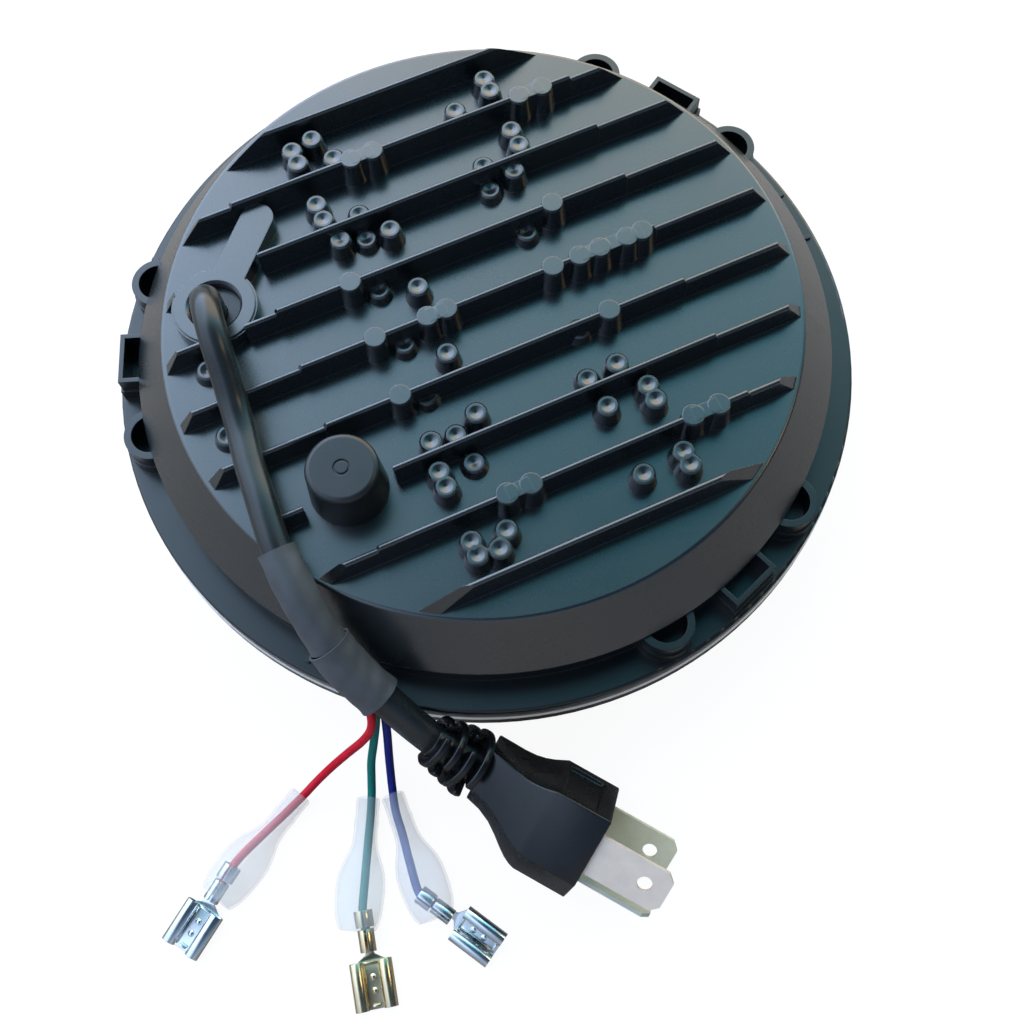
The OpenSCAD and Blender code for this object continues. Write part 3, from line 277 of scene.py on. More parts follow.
def choose(obj, kind, test):
    """In edit mode, selects just the faces or edges that pass the test"""
    bpy.ops.mesh.select_mode(type=kind)
    bpy.ops.mesh.select_all(action="DESELECT")
    mesh = bmesh.from_edit_mesh(obj.data)
    chosen = [e for e in (mesh.faces if kind == "FACE" else mesh.edges) if test(e)]
    if not chosen:
        raise RuntimeError(f"{obj.name}: nothing to select")
    for element in chosen:
        element.select_set(True)
    bmesh.update_edit_mesh(obj.data)


def choose_faces(obj, test):
    """Selects just the faces whose middle and normal pass the test, in millimetres"""
    choose(obj, "FACE", lambda f: test(f.calc_center_median() / MM, f.normal))


def choose_edges(obj, test):
    """Selects just the edges whose two ends pass the test, in millimetres"""
    choose(obj, "EDGE", lambda e: test(e.verts[0].co / MM) and test(e.verts[1].co / MM))


def extrude(step):
    bpy.ops.mesh.extrude_region_move(TRANSFORM_OT_translate={"value": metres(step)})


def move(step):
    bpy.ops.transform.translate(value=metres(step))


def resize(factors, centre):
    bpy.ops.transform.resize(value=factors, center_override=metres(centre))


def swing(angle, centre, axis, steps):
    """Spins what is selected through an angle in degrees, clockwise as seen from the axis's tip"""
    bpy.ops.mesh.spin(steps=steps, angle=math.radians(angle), center=metres(centre), axis=axis)


def soften_sharp_edges(obj, width, segments, sharpness):
    """Bevels the edges sharper than an angle in degrees, by a width in millimetres"""
    edit(obj)
    bpy.ops.mesh.select_mode(type="EDGE")
    bpy.ops.mesh.select_all(action="DESELECT")
    bpy.ops.mesh.edges_select_sharp(sharpness=math.radians(sharpness))
    bpy.ops.mesh.bevel(offset=width * MM, segments=segments, affect="EDGES")
    done()


def face_outwards(obj):
    edit(obj)
    bpy.ops.mesh.select_all(action="SELECT")
    bpy.ops.mesh.remove_doubles(threshold=0.004 * MM)
    bpy.ops.mesh.normals_make_consistent(inside=False)
    done()


def with_modifier(obj, kind, **settings):
    """Adds one modifier, sets it and applies it"""
    alone(obj)
    modifier = obj.modifiers.new(kind.title(), kind)
    for name, value in settings.items():
        setattr(modifier, name, value)
    bpy.ops.object.modifier_apply(modifier=modifier.name)


def linked(name, data):
    """A new object in the scene"""
    obj = bpy.data.objects.new(name, data)
    bpy.context.scene.collection.objects.link(obj)
    return obj


def own_copy(obj):
    """A copy of a piece with a mesh of its own"""
    twin = obj.copy()
    twin.data = obj.data.copy()
    bpy.context.scene.collection.objects.link(twin)
    return twin


def join(objects):
    alone(objects[0])
    for obj in objects:
        obj.select_set(True)
    bpy.ops.object.join()
    return bpy.context.object


def piece(obj, name, material, replaces, smooth):
    """Names a finished mesh, gives it its material and smooth shading, and puts it on the frame"""
    obj.name = name
    obj.data.name = name
    obj.data.materials.clear()
    obj.data.materials.append(material)
    alone(obj)
    bpy.ops.object.shade_smooth_by_angle(angle=math.radians(smooth))
    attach(obj, "root")
    if replaces:
        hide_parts(*replaces)
    return obj


def finish_nodes(material, *nodes):
    """Gives nodes of the frame their material"""
    for node in nodes:
        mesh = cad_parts[node].data
        mesh.materials.clear()
        mesh.materials.append(material)


# Cords and sleeves

def smooth_route(points, steps):
    """Points of one smooth curve through the chosen ones, with steps to each stretch"""
    p = [metres(q) for q in points]
    p = [2 * p[0] - p[1]] + p + [2 * p[-1] - p[-2]]
    route = []
    for a, b, c, d in zip(p, p[1:], p[2:], p[3:]):
        for k in range(steps):
            t = k / steps
            route.append(
                0.5 * (2 * b + (c - a) * t + (2 * a - 5 * b + 4 * c - d) * t**2
                       + (3 * b - a - 3 * c + d) * t**3))
    route.append(p[-2])
    return route


def tube(name, route, radius_at, sides, bore=None):
    """Closed tube, or an open pipe where it has a bore, round a route, with a UV map along and round it"""
    last = len(route) - 1
    side = (route[1] - route[0]).orthogonal().normalized()
    outer, inner = [], []
    for i, point in enumerate(route):
        ahead = (route[min(i + 1, last)] - route[max(i - 1, 0)]).normalized()
        side = (side - ahead * side.dot(ahead)).normalized()
        up = ahead.cross(side)
        for k in range(sides):
            a = math.tau * k / sides
            out = math.cos(a) * side + math.sin(a) * up
            outer.append(point + out * radius_at(i / last, a) * MM)
            if bore:
                inner.append(point + out * bore * MM)
    faces, uvs = [], []
    for shell in range(2 if bore else 1):
        base = shell * len(outer)
        for i in range(last):
            for k in range(sides):
                q = (k + 1) % sides
                quad = [base + i * sides + k, base + i * sides + q,
                        base + (i + 1) * sides + q, base + (i + 1) * sides + k]
                uv = [(i / last, k / sides), (i / last, (k + 1) / sides),
                      ((i + 1) / last, (k + 1) / sides), ((i + 1) / last, k / sides)]
                faces.append(quad if shell == 0 else quad[::-1])
                uvs.append(uv if shell == 0 else uv[::-1])
    ends = [(0, True), (last * sides, False)]
    for start, first in ends:
        if bore:
            for k in range(sides):
                q = (k + 1) % sides
                quad = [start + k, start + q, len(outer) + start + q, len(outer) + start + k]
                faces.append(quad[::-1] if first else quad)
                uvs.append([(0 if first else 1, k / sides)] * 4)
        else:
            ring = [start + k for k in range(sides)]
            faces.append(ring[::-1] if first else ring)
            uvs.append([(0 if first else 1, 0)] * sides)
    mesh = bpy.data.meshes.new(name)
    mesh.from_pydata(outer + inner, [], faces)
    layer = mesh.uv_layers.new(name="along")
    for polygon, uv in zip(mesh.polygons, uvs):
        for loop, value in zip(polygon.loop_indices, uv):
            layer.data[loop].uv = value
    obj = linked(name, mesh)
    face_outwards(obj)
    return obj


# Shader groups

def shader_group(name, inputs, output):
    """A new group, its input node and its output node, with a socket for each number or colour"""
    tree = bpy.data.node_groups.new(name, "ShaderNodeTree")
    for label, value in inputs:
        kind = "NodeSocketFloat" if isinstance(value, float) else "NodeSocketColor"
        tree.interface.new_socket(label, in_out="INPUT", socket_type=kind).default_value = value
    kind = "NodeSocketColor" if output == "Color" else "NodeSocketFloat"
    tree.interface.new_socket(output, in_out="OUTPUT", socket_type=kind)
    return tree, tree.nodes.new("NodeGroupInput"), tree.nodes.new("NodeGroupOutput")


def math_node(tree, kind, first, second):
    node = tree.nodes.new("ShaderNodeMath")
    node.operation = kind
    for socket, value in zip(node.inputs, (first, second)):
        if isinstance(value, bpy.types.NodeSocket):
            tree.links.new(value, socket)
        else:
            socket.default_value = value
    return node.outputs[0]


def noise_node(tree, scale, detail, roughness=0.5):
    where = tree.nodes.new("ShaderNodeTexCoord")
    node = tree.nodes.new("ShaderNodeTexNoise")
    node.inputs["Detail"].default_value = detail
    node.inputs["Roughness"].default_value = roughness
    tree.links.new(where.outputs["Object"], node.inputs["Vector"])
    if isinstance(scale, bpy.types.NodeSocket):
        tree.links.new(scale, node.inputs["Scale"])
    else:
        node.inputs["Scale"].default_value = scale
    return node.outputs["Fac"]


def spread_node(tree, value, low, high):
    """Stretches the part of a value between low and high to 0 and 1"""
    node = tree.nodes.new("ShaderNodeMapRange")
    node.inputs["From Min"].default_value = low
    node.inputs["From Max"].default_value = high
    tree.links.new(value, node.inputs["Value"])
    return node.outputs["Result"]


def mix_colours(tree, share, first, second):
    node = tree.nodes.new("ShaderNodeMix")
    node.data_type = "RGBA"
    tree.links.new(share, node.inputs["Factor"])
    tree.links.new(first, node.inputs["A"])
    tree.links.new(second, node.inputs["B"])
    return node.outputs["Result"]


def make_uneven_tone():
    """Colour that drifts between two tones in soft patches"""
    tree, given, out = shader_group(
        "Uneven tone",
        [("Main Tone", (0.5, 0.5, 0.5, 1)), ("Second Tone", (0.4, 0.4, 0.4, 1)), ("Scale", 60.0)],
        "Color")
    patches = spread_node(tree, noise_node(tree, given.outputs["Scale"], 6, 0.6), 0.32, 0.68)
    colour = mix_colours(tree, patches, given.outputs["Main Tone"], given.outputs["Second Tone"])
    tree.links.new(colour, out.inputs["Color"])
    return tree


def make_uneven_gloss():
    """Roughness that drifts between two values, with faint finer rubbing over it"""
    tree, given, out = shader_group(
        "Uneven gloss", [("Smoothest", 0.3), ("Roughest", 0.4), ("Scale", 90.0)], "Roughness")
    broad = spread_node(tree, noise_node(tree, given.outputs["Scale"], 4), 0.3, 0.7)
    fine_scale = math_node(tree, "MULTIPLY", given.outputs["Scale"], 9.0)
    fine = spread_node(tree, noise_node(tree, fine_scale, 2), 0.3, 0.7)
    both = math_node(tree, "MULTIPLY_ADD", broad, 0.7)
    tree.links.new(math_node(tree, "MULTIPLY", fine, 0.3), both.node.inputs[2])
    width = math_node(tree, "SUBTRACT", given.outputs["Roughest"], given.outputs["Smoothest"])
    drift = math_node(tree, "MULTIPLY", both, width)
    tree.links.new(math_node(tree, "ADD", drift, given.outputs["Smoothest"]), out.inputs["Roughness"])
    return tree


def make_fine_grain():
    """Height of a cast or moulded skin: fine grain over a slower swell"""
    tree, given, out = shader_group(
        "Fine grain", [("Grain Scale", 2500.0), ("Swell Scale", 180.0), ("Swell", 0.5)], "Height")
    grain = noise_node(tree, given.outputs["Grain Scale"], 3, 0.6)
    swell = math_node(
        tree, "MULTIPLY", noise_node(tree, given.outputs["Swell Scale"], 2), given.outputs["Swell"])
    tree.links.new(math_node(tree, "ADD", grain, swell), out.inputs["Height"])
    return tree


def make_dust():
    """Pale specks of dust over a colour"""
    tree, given, out = shader_group(
        "Dust specks",
        [("Color", (0.02, 0.02, 0.02, 1)), ("Dust Color", (0.3, 0.3, 0.28, 1)), ("Scale", 900.0),
         ("Cover", 0.25)],
        "Color")
    specks = spread_node(tree, noise_node(tree, given.outputs["Scale"], 2, 0.8), 0.66, 0.78)
    patches = spread_node(tree, noise_node(tree, 45.0, 2), 0.45, 0.7)
    mask = math_node(tree, "MULTIPLY", specks, patches)
    mask = math_node(tree, "MULTIPLY", mask, given.outputs["Cover"])
    colour = mix_colours(tree, mask, given.outputs["Color"], given.outputs["Dust Color"])
    tree.links.new(colour, out.inputs["Color"])
    return tree


def make_drawn_lines():
    """Height of fine lines left along a drawn cord, on its own UV map"""
    tree, given, out = shader_group("Drawn lines", [("Along", 6.0), ("Across", 90.0)], "Height")
    where = tree.nodes.new("ShaderNodeTexCoord")
    split = tree.nodes.new("ShaderNodeSeparateXYZ")
    tree.links.new(where.outputs["UV"], split.inputs[0])
    circle = math_node(tree, "MULTIPLY", split.outputs["Y"], math.tau)
    together = tree.nodes.new("ShaderNodeCombineXYZ")
    along = math_node(tree, "MULTIPLY", split.outputs["X"], given.outputs["Along"])
    tree.links.new(along, together.inputs[0])
    for k, kind in enumerate(("COSINE", "SINE")):
        around = math_node(tree, kind, circle, 0.0)
        tree.links.new(math_node(tree, "MULTIPLY", around, given.outputs["Across"]), together.inputs[k + 1])
    noise = tree.nodes.new("ShaderNodeTexNoise")
    noise.inputs["Scale"].default_value = 1.0
    noise.inputs["Detail"].default_value = 3
    tree.links.new(together.outputs[0], noise.inputs["Vector"])
    tree.links.new(noise.outputs["Fac"], out.inputs["Height"])
    return tree


GROUP_MAKERS = {
    "Uneven tone": make_uneven_tone,
    "Uneven gloss": make_uneven_gloss,
    "Fine grain": make_fine_grain,
    "Dust specks": make_dust,
    "Drawn lines": make_drawn_lines,
}


class Finish:
    """One material under construction: a Principled shader and the groups that feed it"""

    def __init__(self, name):
        self.material = bpy.data.materials.new(name)
        self.material.use_nodes = True
        self.tree = self.material.node_tree
        self.shader = self.tree.nodes["Principled BSDF"]

    def plain(self, **values):
        """Sets sockets of the shader to plain numbers and colours"""
        for name, value in values.items():
            self.shader.inputs[name.replace("_", " ")].default_value = value

    def place(self, group, **values):
        tree = bpy.data.node_groups.get(group) or GROUP_MAKERS[group]()
        node = self.tree.nodes.new("ShaderNodeGroup")
        node.node_tree = tree
        for name, value in values.items():
            node.inputs[name.replace("_", " ")].default_value = value
        return node

    def feed(self, output, socket):
        self.tree.links.new(output, self.shader.inputs[socket])

    def colour(self, main, second, scale, dust=None):
        """Drift between two tones, under specks of dust given by their colour, scale and cover"""
        node = self.place("Uneven tone", Main_Tone=(*main, 1), Second_Tone=(*second, 1), Scale=scale)
        output = node.outputs["Color"]
        if dust:
            speck, fineness, cover = dust
            node = self.place("Dust specks", Dust_Color=(*speck, 1), Scale=fineness, Cover=cover)
            self.tree.links.new(output, node.inputs["Color"])
            output = node.outputs["Color"]
        self.feed(output, "Base Color")

    def gloss(self, smoothest, roughest, scale):
        node = self.place("Uneven gloss", Smoothest=smoothest, Roughest=roughest, Scale=scale)
        self.feed(node.outputs["Roughness"], "Roughness")

    def relief(self, height, depth, strength, rounded=0.0):
        """Bump from a height, over edges rounded by a small radius in millimetres"""
        bump = self.tree.nodes.new("ShaderNodeBump")
        bump.inputs["Distance"].default_value = depth * MM
        bump.inputs["Strength"].default_value = strength
        self.tree.links.new(height, bump.inputs["Height"])
        if rounded:
            corner = self.tree.nodes.new("ShaderNodeBevel")
            corner.samples = 4
            corner.inputs["Radius"].default_value = rounded * MM
            self.tree.links.new(corner.outputs["Normal"], bump.inputs["Normal"])
        self.feed(bump.outputs["Normal"], "Normal")

    def grain(self, scale, swell_scale, swell, depth, strength, rounded=0.0):
        """Bump of a cast or moulded skin"""
        node = self.place("Fine grain", Grain_Scale=scale, Swell_Scale=swell_scale, Swell=swell)
        self.relief(node.outputs["Height"], depth, strength, rounded)


# Finishes

def satin_casting():
    f = Finish("satin black casting")
    p = looks()
    f.colour(p.casting_colour, p.casting_second_colour, 35, dust=((0.16, 0.17, 0.17), 1500, 0.10))
    f.plain(Specular_IOR_Level=0.8, Coat_Weight=0.8, Coat_Roughness=0.24)
    f.gloss(0.24, 0.31, 80)
    f.grain(2600, 120, swell=0.35, depth=0.010, strength=0.55, rounded=0.3)
    return f.material


def ring_plastic():
    f = Finish("satin black ring")
    f.colour((0.002, 0.004, 0.005), (0.004, 0.007, 0.008), 50, dust=((0.14, 0.15, 0.15), 1300, 0.08))
    f.plain(Specular_IOR_Level=0.5, Coat_Weight=0.4, Coat_Roughness=0.24)
    f.gloss(0.30, 0.38, 100)
    f.grain(3200, 200, swell=0.3, depth=0.008, strength=0.5, rounded=0.25)
    return f.material


def cap_rubber():
    f = Finish("moulded cap rubber")
    f.colour((0.010, 0.012, 0.013), (0.018, 0.021, 0.022), 120, dust=((0.2, 0.2, 0.2), 1800, 0.12))
    f.gloss(0.27, 0.36, 140)
    f.grain(2400, 350, swell=0.4, depth=0.008, strength=0.5, rounded=0.25)
    return f.material


def cord_rubber():
    f = Finish("satin cord sheath")
    f.colour((0.014, 0.017, 0.018), (0.023, 0.027, 0.028), 90, dust=((0.2, 0.2, 0.19), 1700, 0.12))
    f.gloss(0.24, 0.33, 160)
    f.relief(f.place("Drawn lines", Along=10, Across=14).outputs[0], 0.03, 0.35)
    return f.material


def shrink_sleeve():
    f = Finish("shrunk sleeve")
    f.colour((0.064, 0.067, 0.072), (0.095, 0.099, 0.106), 140, dust=((0.2, 0.2, 0.2), 1500, 0.2))
    f.gloss(0.45, 0.56, 220)
    f.grain(1500, 420, swell=1.2, depth=0.03, strength=0.6)
    return f.material


def plug_plastic():
    f = Finish("moulded plug")
    f.colour((0.003, 0.003, 0.004), (0.006, 0.006, 0.007), 130, dust=((0.2, 0.21, 0.22), 1500, 0.10))
    f.gloss(0.22, 0.32, 170)
    f.grain(1800, 260, swell=0.8, depth=0.012, strength=0.55)
    return f.material


def seal_rubber():
    f = Finish("seal rubber")
    f.colour((0.02, 0.02, 0.02), (0.032, 0.032, 0.032), 200)
    f.gloss(0.6, 0.72, 200)
    f.grain(1600, 300, swell=0.5, depth=0.02, strength=0.6)
    return f.material


def wire_insulation(name, colour):
    f = Finish(name)
    deeper = tuple(0.8 * c for c in colour)
    f.colour(tuple(colour), deeper, 260)
    f.plain(Specular_IOR_Level=0.3)
    f.gloss(0.34, 0.46, 240)
    f.relief(f.place("Drawn lines", Along=14, Across=8).outputs[0], 0.02, 0.3)
    return f.material


def clear_boot(name, tint):
    f = Finish(name)
    f.plain(Alpha=0.16, IOR=1.45)
    f.colour(tint, tuple(0.94 * c for c in tint), 180)
    f.gloss(0.10, 0.22, 260)
    f.grain(500, 160, swell=2.0, depth=0.02, strength=0.25)
    return f.material


def clear_lens():
    f = Finish("clear lens")
    f.plain(Transmission_Weight=1.0, IOR=1.5)
    f.colour((0.97, 0.975, 0.965), (0.93, 0.94, 0.93), 40)
    f.gloss(0.03, 0.10, 60)
    f.grain(700, 90, swell=1.0, depth=0.01, strength=0.3)
    return f.material


def bare_metal(name, main, second, smoothest, roughest, metallic=1.0):
    f = Finish(name)
    f.plain(Metallic=metallic)
    f.colour(main, second, 260)
    f.gloss(smoothest, roughest, 300)
    f.grain(2100, 420, swell=1.2, depth=0.012, strength=0.6, rounded=0.08)
    return f.material


def board_face(name, main, second):
    f = Finish(name)
    f.colour(main, second, 420)
    f.gloss(0.32, 0.5, 300)
    f.grain(1200, 700, swell=1.5, depth=0.02, strength=0.5)
    return f.material


def moulded_plastic(name, main, second, smoothest, roughest):
    f = Finish(name)
    f.colour(main, second, 90)
    f.gloss(smoothest, roughest, 120)
    f.grain(2200, 150, swell=0.5, depth=0.012, strength=0.5)
    return f.material


# Stage

def floor_material():
    """Near white to the camera, with faint contact shadows, and a warm matt grey to what mirrors it"""
    material = bpy.data.materials.new("pale floor")
    material.use_nodes = True
    tree = material.node_tree
    tree.nodes.clear()
    out = tree.nodes.new("ShaderNodeOutputMaterial")
    rays = tree.nodes.new("ShaderNodeLightPath")
    shader = None
    for ray, glow, matt in FLOOR_LOOKS:
        diffuse = tree.nodes.new("ShaderNodeBsdfDiffuse")
        diffuse.inputs["Color"].default_value = (*matt, 1)
        light = tree.nodes.new("ShaderNodeEmission")
        light.inputs["Color"].default_value = (1, 1, 1, 1)
        light.inputs["Strength"].default_value = glow
        both = tree.nodes.new("ShaderNodeAddShader")
        tree.links.new(diffuse.outputs[0], both.inputs[0])
        tree.links.new(light.outputs[0], both.inputs[1])
        if shader:
            pick = tree.nodes.new("ShaderNodeMixShader")
            tree.links.new(rays.outputs[ray], pick.inputs[0])
            tree.links.new(shader.outputs[0], pick.inputs[1])
            tree.links.new(both.outputs[0], pick.inputs[2])
            both = pick
        shader = both
    tree.links.new(shader.outputs[0], out.inputs["Surface"])
    return material


def ramp_node(tree, value, stops):
    """Colour ramp of (place, colour) stops over a value from 0 to 1"""
    ramp = tree.nodes.new("ShaderNodeValToRGB")
    while len(ramp.color_ramp.elements) < len(stops):
        ramp.color_ramp.elements.new(1.0)
    for element, (place, colour) in zip(ramp.color_ramp.elements, stops):
        element.position = place
        element.color = (*colour, 1)
    tree.links.new(value, ramp.inputs[0])
    return ramp.outputs[0]


def light_world():
    """Soft room round the lamp: bright and warm behind it, cool on its left, dark overhead"""
    world = bpy.data.worlds.new("soft room")
    bpy.context.scene.world = world
    world.use_nodes = True
    tree = world.node_tree
    tree.nodes.clear()
    out = tree.nodes.new("ShaderNodeOutputWorld")
    where = tree.nodes.new("ShaderNodeTexCoord")
    split = tree.nodes.new("ShaderNodeSeparateXYZ")
    tree.links.new(where.outputs["Generated"], split.inputs[0])
    lean = math_node(tree, "MULTIPLY", split.outputs["X"], ROOM_LEAN)
    back = math_node(tree, "SUBTRACT", split.outputs["Y"], lean)
    behind = ramp_node(tree, spread_node(tree, back, -1, 1), ROOM_TONES)
    left, low, beside = (
        spread_node(tree, split.outputs[axis], *fade) for axis, fade in WINDOW_FADES.items())
    side = math_node(tree, "MULTIPLY", math_node(tree, "MULTIPLY", left, low), beside)
    window = ramp_node(tree, spread_node(tree, split.outputs["X"], -1, 0), WINDOW_TONES)
    colour = mix_colours(tree, side, behind, window)
    room = tree.nodes.new("ShaderNodeBackground")
    room.inputs["Strength"].default_value = looks().room_light
    tree.links.new(colour, room.inputs["Color"])
    white = tree.nodes.new("ShaderNodeBackground")
    white.inputs["Color"].default_value = (1, 1, 1, 1)
    rays = tree.nodes.new("ShaderNodeLightPath")
    clear = math_node(tree, "MAXIMUM", rays.outputs["Is Camera Ray"], rays.outputs["Is Transmission Ray"])
    pick = tree.nodes.new("ShaderNodeMixShader")
    tree.links.new(clear, pick.inputs[0])
    tree.links.new(room.outputs[0], pick.inputs[1])
    tree.links.new(white.outputs[0], pick.inputs[2])
    tree.links.new(pick.outputs[0], out.inputs["Surface"])


def make_lamp():
    """Square soft lamp on the right that faces the object"""
    light = bpy.data.lights.new("right lamp", "AREA")
    light.shape = "SQUARE"
    light.size = LAMP_WIDTH
    light.energy = LAMP_POWER
    light.color = LAMP_COLOUR
    lamp = linked("right lamp", light)
    lamp.location = LAMP_AT
    lamp.rotation_mode = "QUATERNION"
    lamp.rotation_quaternion = (Vector(LAMP_AIM) - Vector(LAMP_AT)).to_track_quat("-Z", "Y")


def make_camera():
    data = bpy.data.cameras.new("photograph view")
    data.lens = CAMERA_LENS
    data.sensor_width = CAMERA_SENSOR
    data.clip_start = 0.005
    data.clip_end = 20
    camera = linked("photograph view", data)
    axes = Matrix(CAMERA_AXES).transposed().to_4x4()
    camera.matrix_world = Matrix.Translation(metres(CAMERA_AT)) @ axes
    bpy.context.scene.camera = camera


def make_floor():
    alone(None)
    bpy.ops.mesh.primitive_plane_add(size=looks().floor_width, location=(0, 0, -FLOOR_DROP * MM))
    floor = settled()
    floor.name = "floor"
    floor.data.materials.append(floor_material())


# Plug and its strain relief

def plug_block():
    """The plug's box with its two chamfers, drawn out along its waist"""
    height = 2 * PLUG_HALF_HEIGHT
    bpy.ops.mesh.primitive_cube_add(
        size=1, location=metres((-PLUG_BOX_LENGTH / 2, (PLUG_PLAIN_SIDE - PLUG_KEYED_SIDE) / 2, 0)))
    block = settled(metres((PLUG_BOX_LENGTH, PLUG_PLAIN_SIDE + PLUG_KEYED_SIDE, height)))
    edit(block)
    run = PLUG_KEYED_SIDE - PLUG_CHAMFER_START
    for up in (1, -1):
        bpy.ops.mesh.select_all(action="SELECT")
        bpy.ops.mesh.bisect(
            plane_co=metres((0, -PLUG_CHAMFER_START, up * PLUG_HALF_HEIGHT)),
            plane_no=(0, -PLUG_CHAMFER_DEPTH, up * run), use_fill=True, clear_outer=True)
    choose_faces(block, lambda c, n: n.x < -0.9)
    behind, plain, keyed, half = PLUG_BOX_LENGTH, PLUG_PLAIN_SIDE, PLUG_KEYED_SIDE, PLUG_HALF_HEIGHT
    for new_behind, new_plain, new_keyed, new_half in WAIST_STATIONS:
        extrude((behind - new_behind, 0, 0))
        middle = (new_plain - new_keyed) / 2
        move((0, middle - (plain - keyed) / 2, 0))
        resize((1, (new_plain + new_keyed) / (plain + keyed), new_half / half), (-new_behind, middle, 0))
        behind, plain, keyed, half = new_behind, new_plain, new_keyed, new_half
    done()
    return block


def sink_finger_recess(block):
    """Recess in the plain narrow face"""
    edit(block)
    choose_faces(block, lambda c, n: n.y > 0.9 and c.x > -PLUG_BOX_LENGTH)
    bpy.ops.mesh.inset(thickness=RECESS_MARGIN * MM, depth=0)
    move((-RECESS_BACK, 0, 0))
    bpy.ops.mesh.inset(thickness=0.25 * MM, depth=-RECESS_DEPTH * MM)
    done()


def relief_pieces():
    """Tapered core and split ribs of the strain relief, drawn along +Z from the lead"""
    core = RELIEF_LENGTH + RELIEF_RUN_IN
    bpy.ops.mesh.primitive_cone_add(
        vertices=40, radius1=RELIEF_CORE[0] * MM, radius2=RELIEF_CORE[1] * MM, depth=core * MM,
        location=metres((0, 0, core / 2)))
    made = [settled()]
    for k in range(RELIEF_RIBS):
        outer = (RELIEF_WIDEST - (RELIEF_RIBS - 1 - k) * RELIEF_STEP) / 2
        low = (k + 0.25) * RELIEF_LENGTH / RELIEF_RIBS
        for half_turn in (0, 180):
            bpy.ops.mesh.primitive_plane_add(
                size=1, location=metres(((RIB_INSIDE + outer) / 2, 0, low + RIB_THICKNESS / 2)),
                rotation=(math.radians(90), 0, 0))
            rib = settled(metres((outer - RIB_INSIDE, RIB_THICKNESS, 1)))
            edit(rib)
            bpy.ops.mesh.select_all(action="SELECT")
            swing(RIB_SWING, (0, 0, 0), (0, 0, 1), 22)
            done()
            face_outwards(rib)
            turn = half_turn + 90 * (k % 2) + RIB_TURN
            rib.data.transform(Matrix.Rotation(math.radians(turn), 4, "Z"))
            made.append(rib)
    relief = join(made)
    soften_sharp_edges(relief, 0.4, 3, 40)
    return relief


def make_plug():
    block = plug_block()
    face_outwards(block)
    sink_finger_recess(block)
    soften_sharp_edges(block, 0.32, 3, 22)
    place = Matrix.Translation(metres(PLUG_AT)) @ turned(PLUG_POSE)
    block.data.transform(place)
    relief = relief_pieces()
    along = place @ metres(PLUG_BACK) - metres(RELIEF_FROM)
    relief.data.transform(
        Matrix.Translation(metres(RELIEF_FROM)) @ along.to_track_quat("Z", "Y").to_matrix().to_4x4())
    plug = join([block, relief])
    return piece(plug, "plug_moulding", plug_plastic(), ["plug_body"], 30)


# Boots

def boot_half_sizes(growth):
    return ((BOOT_NECK + growth * (BOOT_WIDTH - BOOT_NECK)) / 2,
            (BOOT_NECK + growth * (BOOT_HEIGHT - BOOT_NECK)) / 2)


def boot_shell():
    """Clear shell that widens from a round neck with a ring to a flat oval with a rounded mouth"""
    wide, high = boot_half_sizes(BOOT_FIRST_GROWTH)
    bpy.ops.mesh.primitive_circle_add(
        vertices=32, radius=MM, fill_type="NOTHING", rotation=(0, math.radians(90), 0))
    shell = settled()
    edit(shell)
    bpy.ops.mesh.select_all(action="SELECT")
    resize((1, wide, high), (0, 0, 0))
    move((0, 0, high))
    along = 0
    for share, growth in BOOT_STATIONS:
        new_wide, new_high = boot_half_sizes(growth)
        extrude((share * BOOT_LENGTH - along, 0, new_high - high))
        along = share * BOOT_LENGTH
        resize((1, new_wide / wide, new_high / high), (along, 0, new_high))
        wide, high = new_wide, new_high
    done()
    face_outwards(shell)
    with_modifier(shell, "SOLIDIFY", thickness=BOOT_WALL * MM, offset=-1)
    with_modifier(shell, "SUBSURF", levels=1, render_levels=1)
    return shell


def make_boots():
    shell = boot_shell()
    for colour, (at, turn) in BOOTS.items():
        boot = own_copy(shell)
        place = Matrix.Translation(metres((at[0], at[1], BOOT_LIFT)))
        boot.data.transform(place @ Matrix.Rotation(math.radians(turn), 4, "Z"))
        material = clear_boot(f"{colour} clear boot", BOOT_TINTS[colour])
        piece(boot, f"{colour}_boot_shell", material, [f"{colour}_boot"], 60)
    bpy.data.objects.remove(shell)


# Terminals

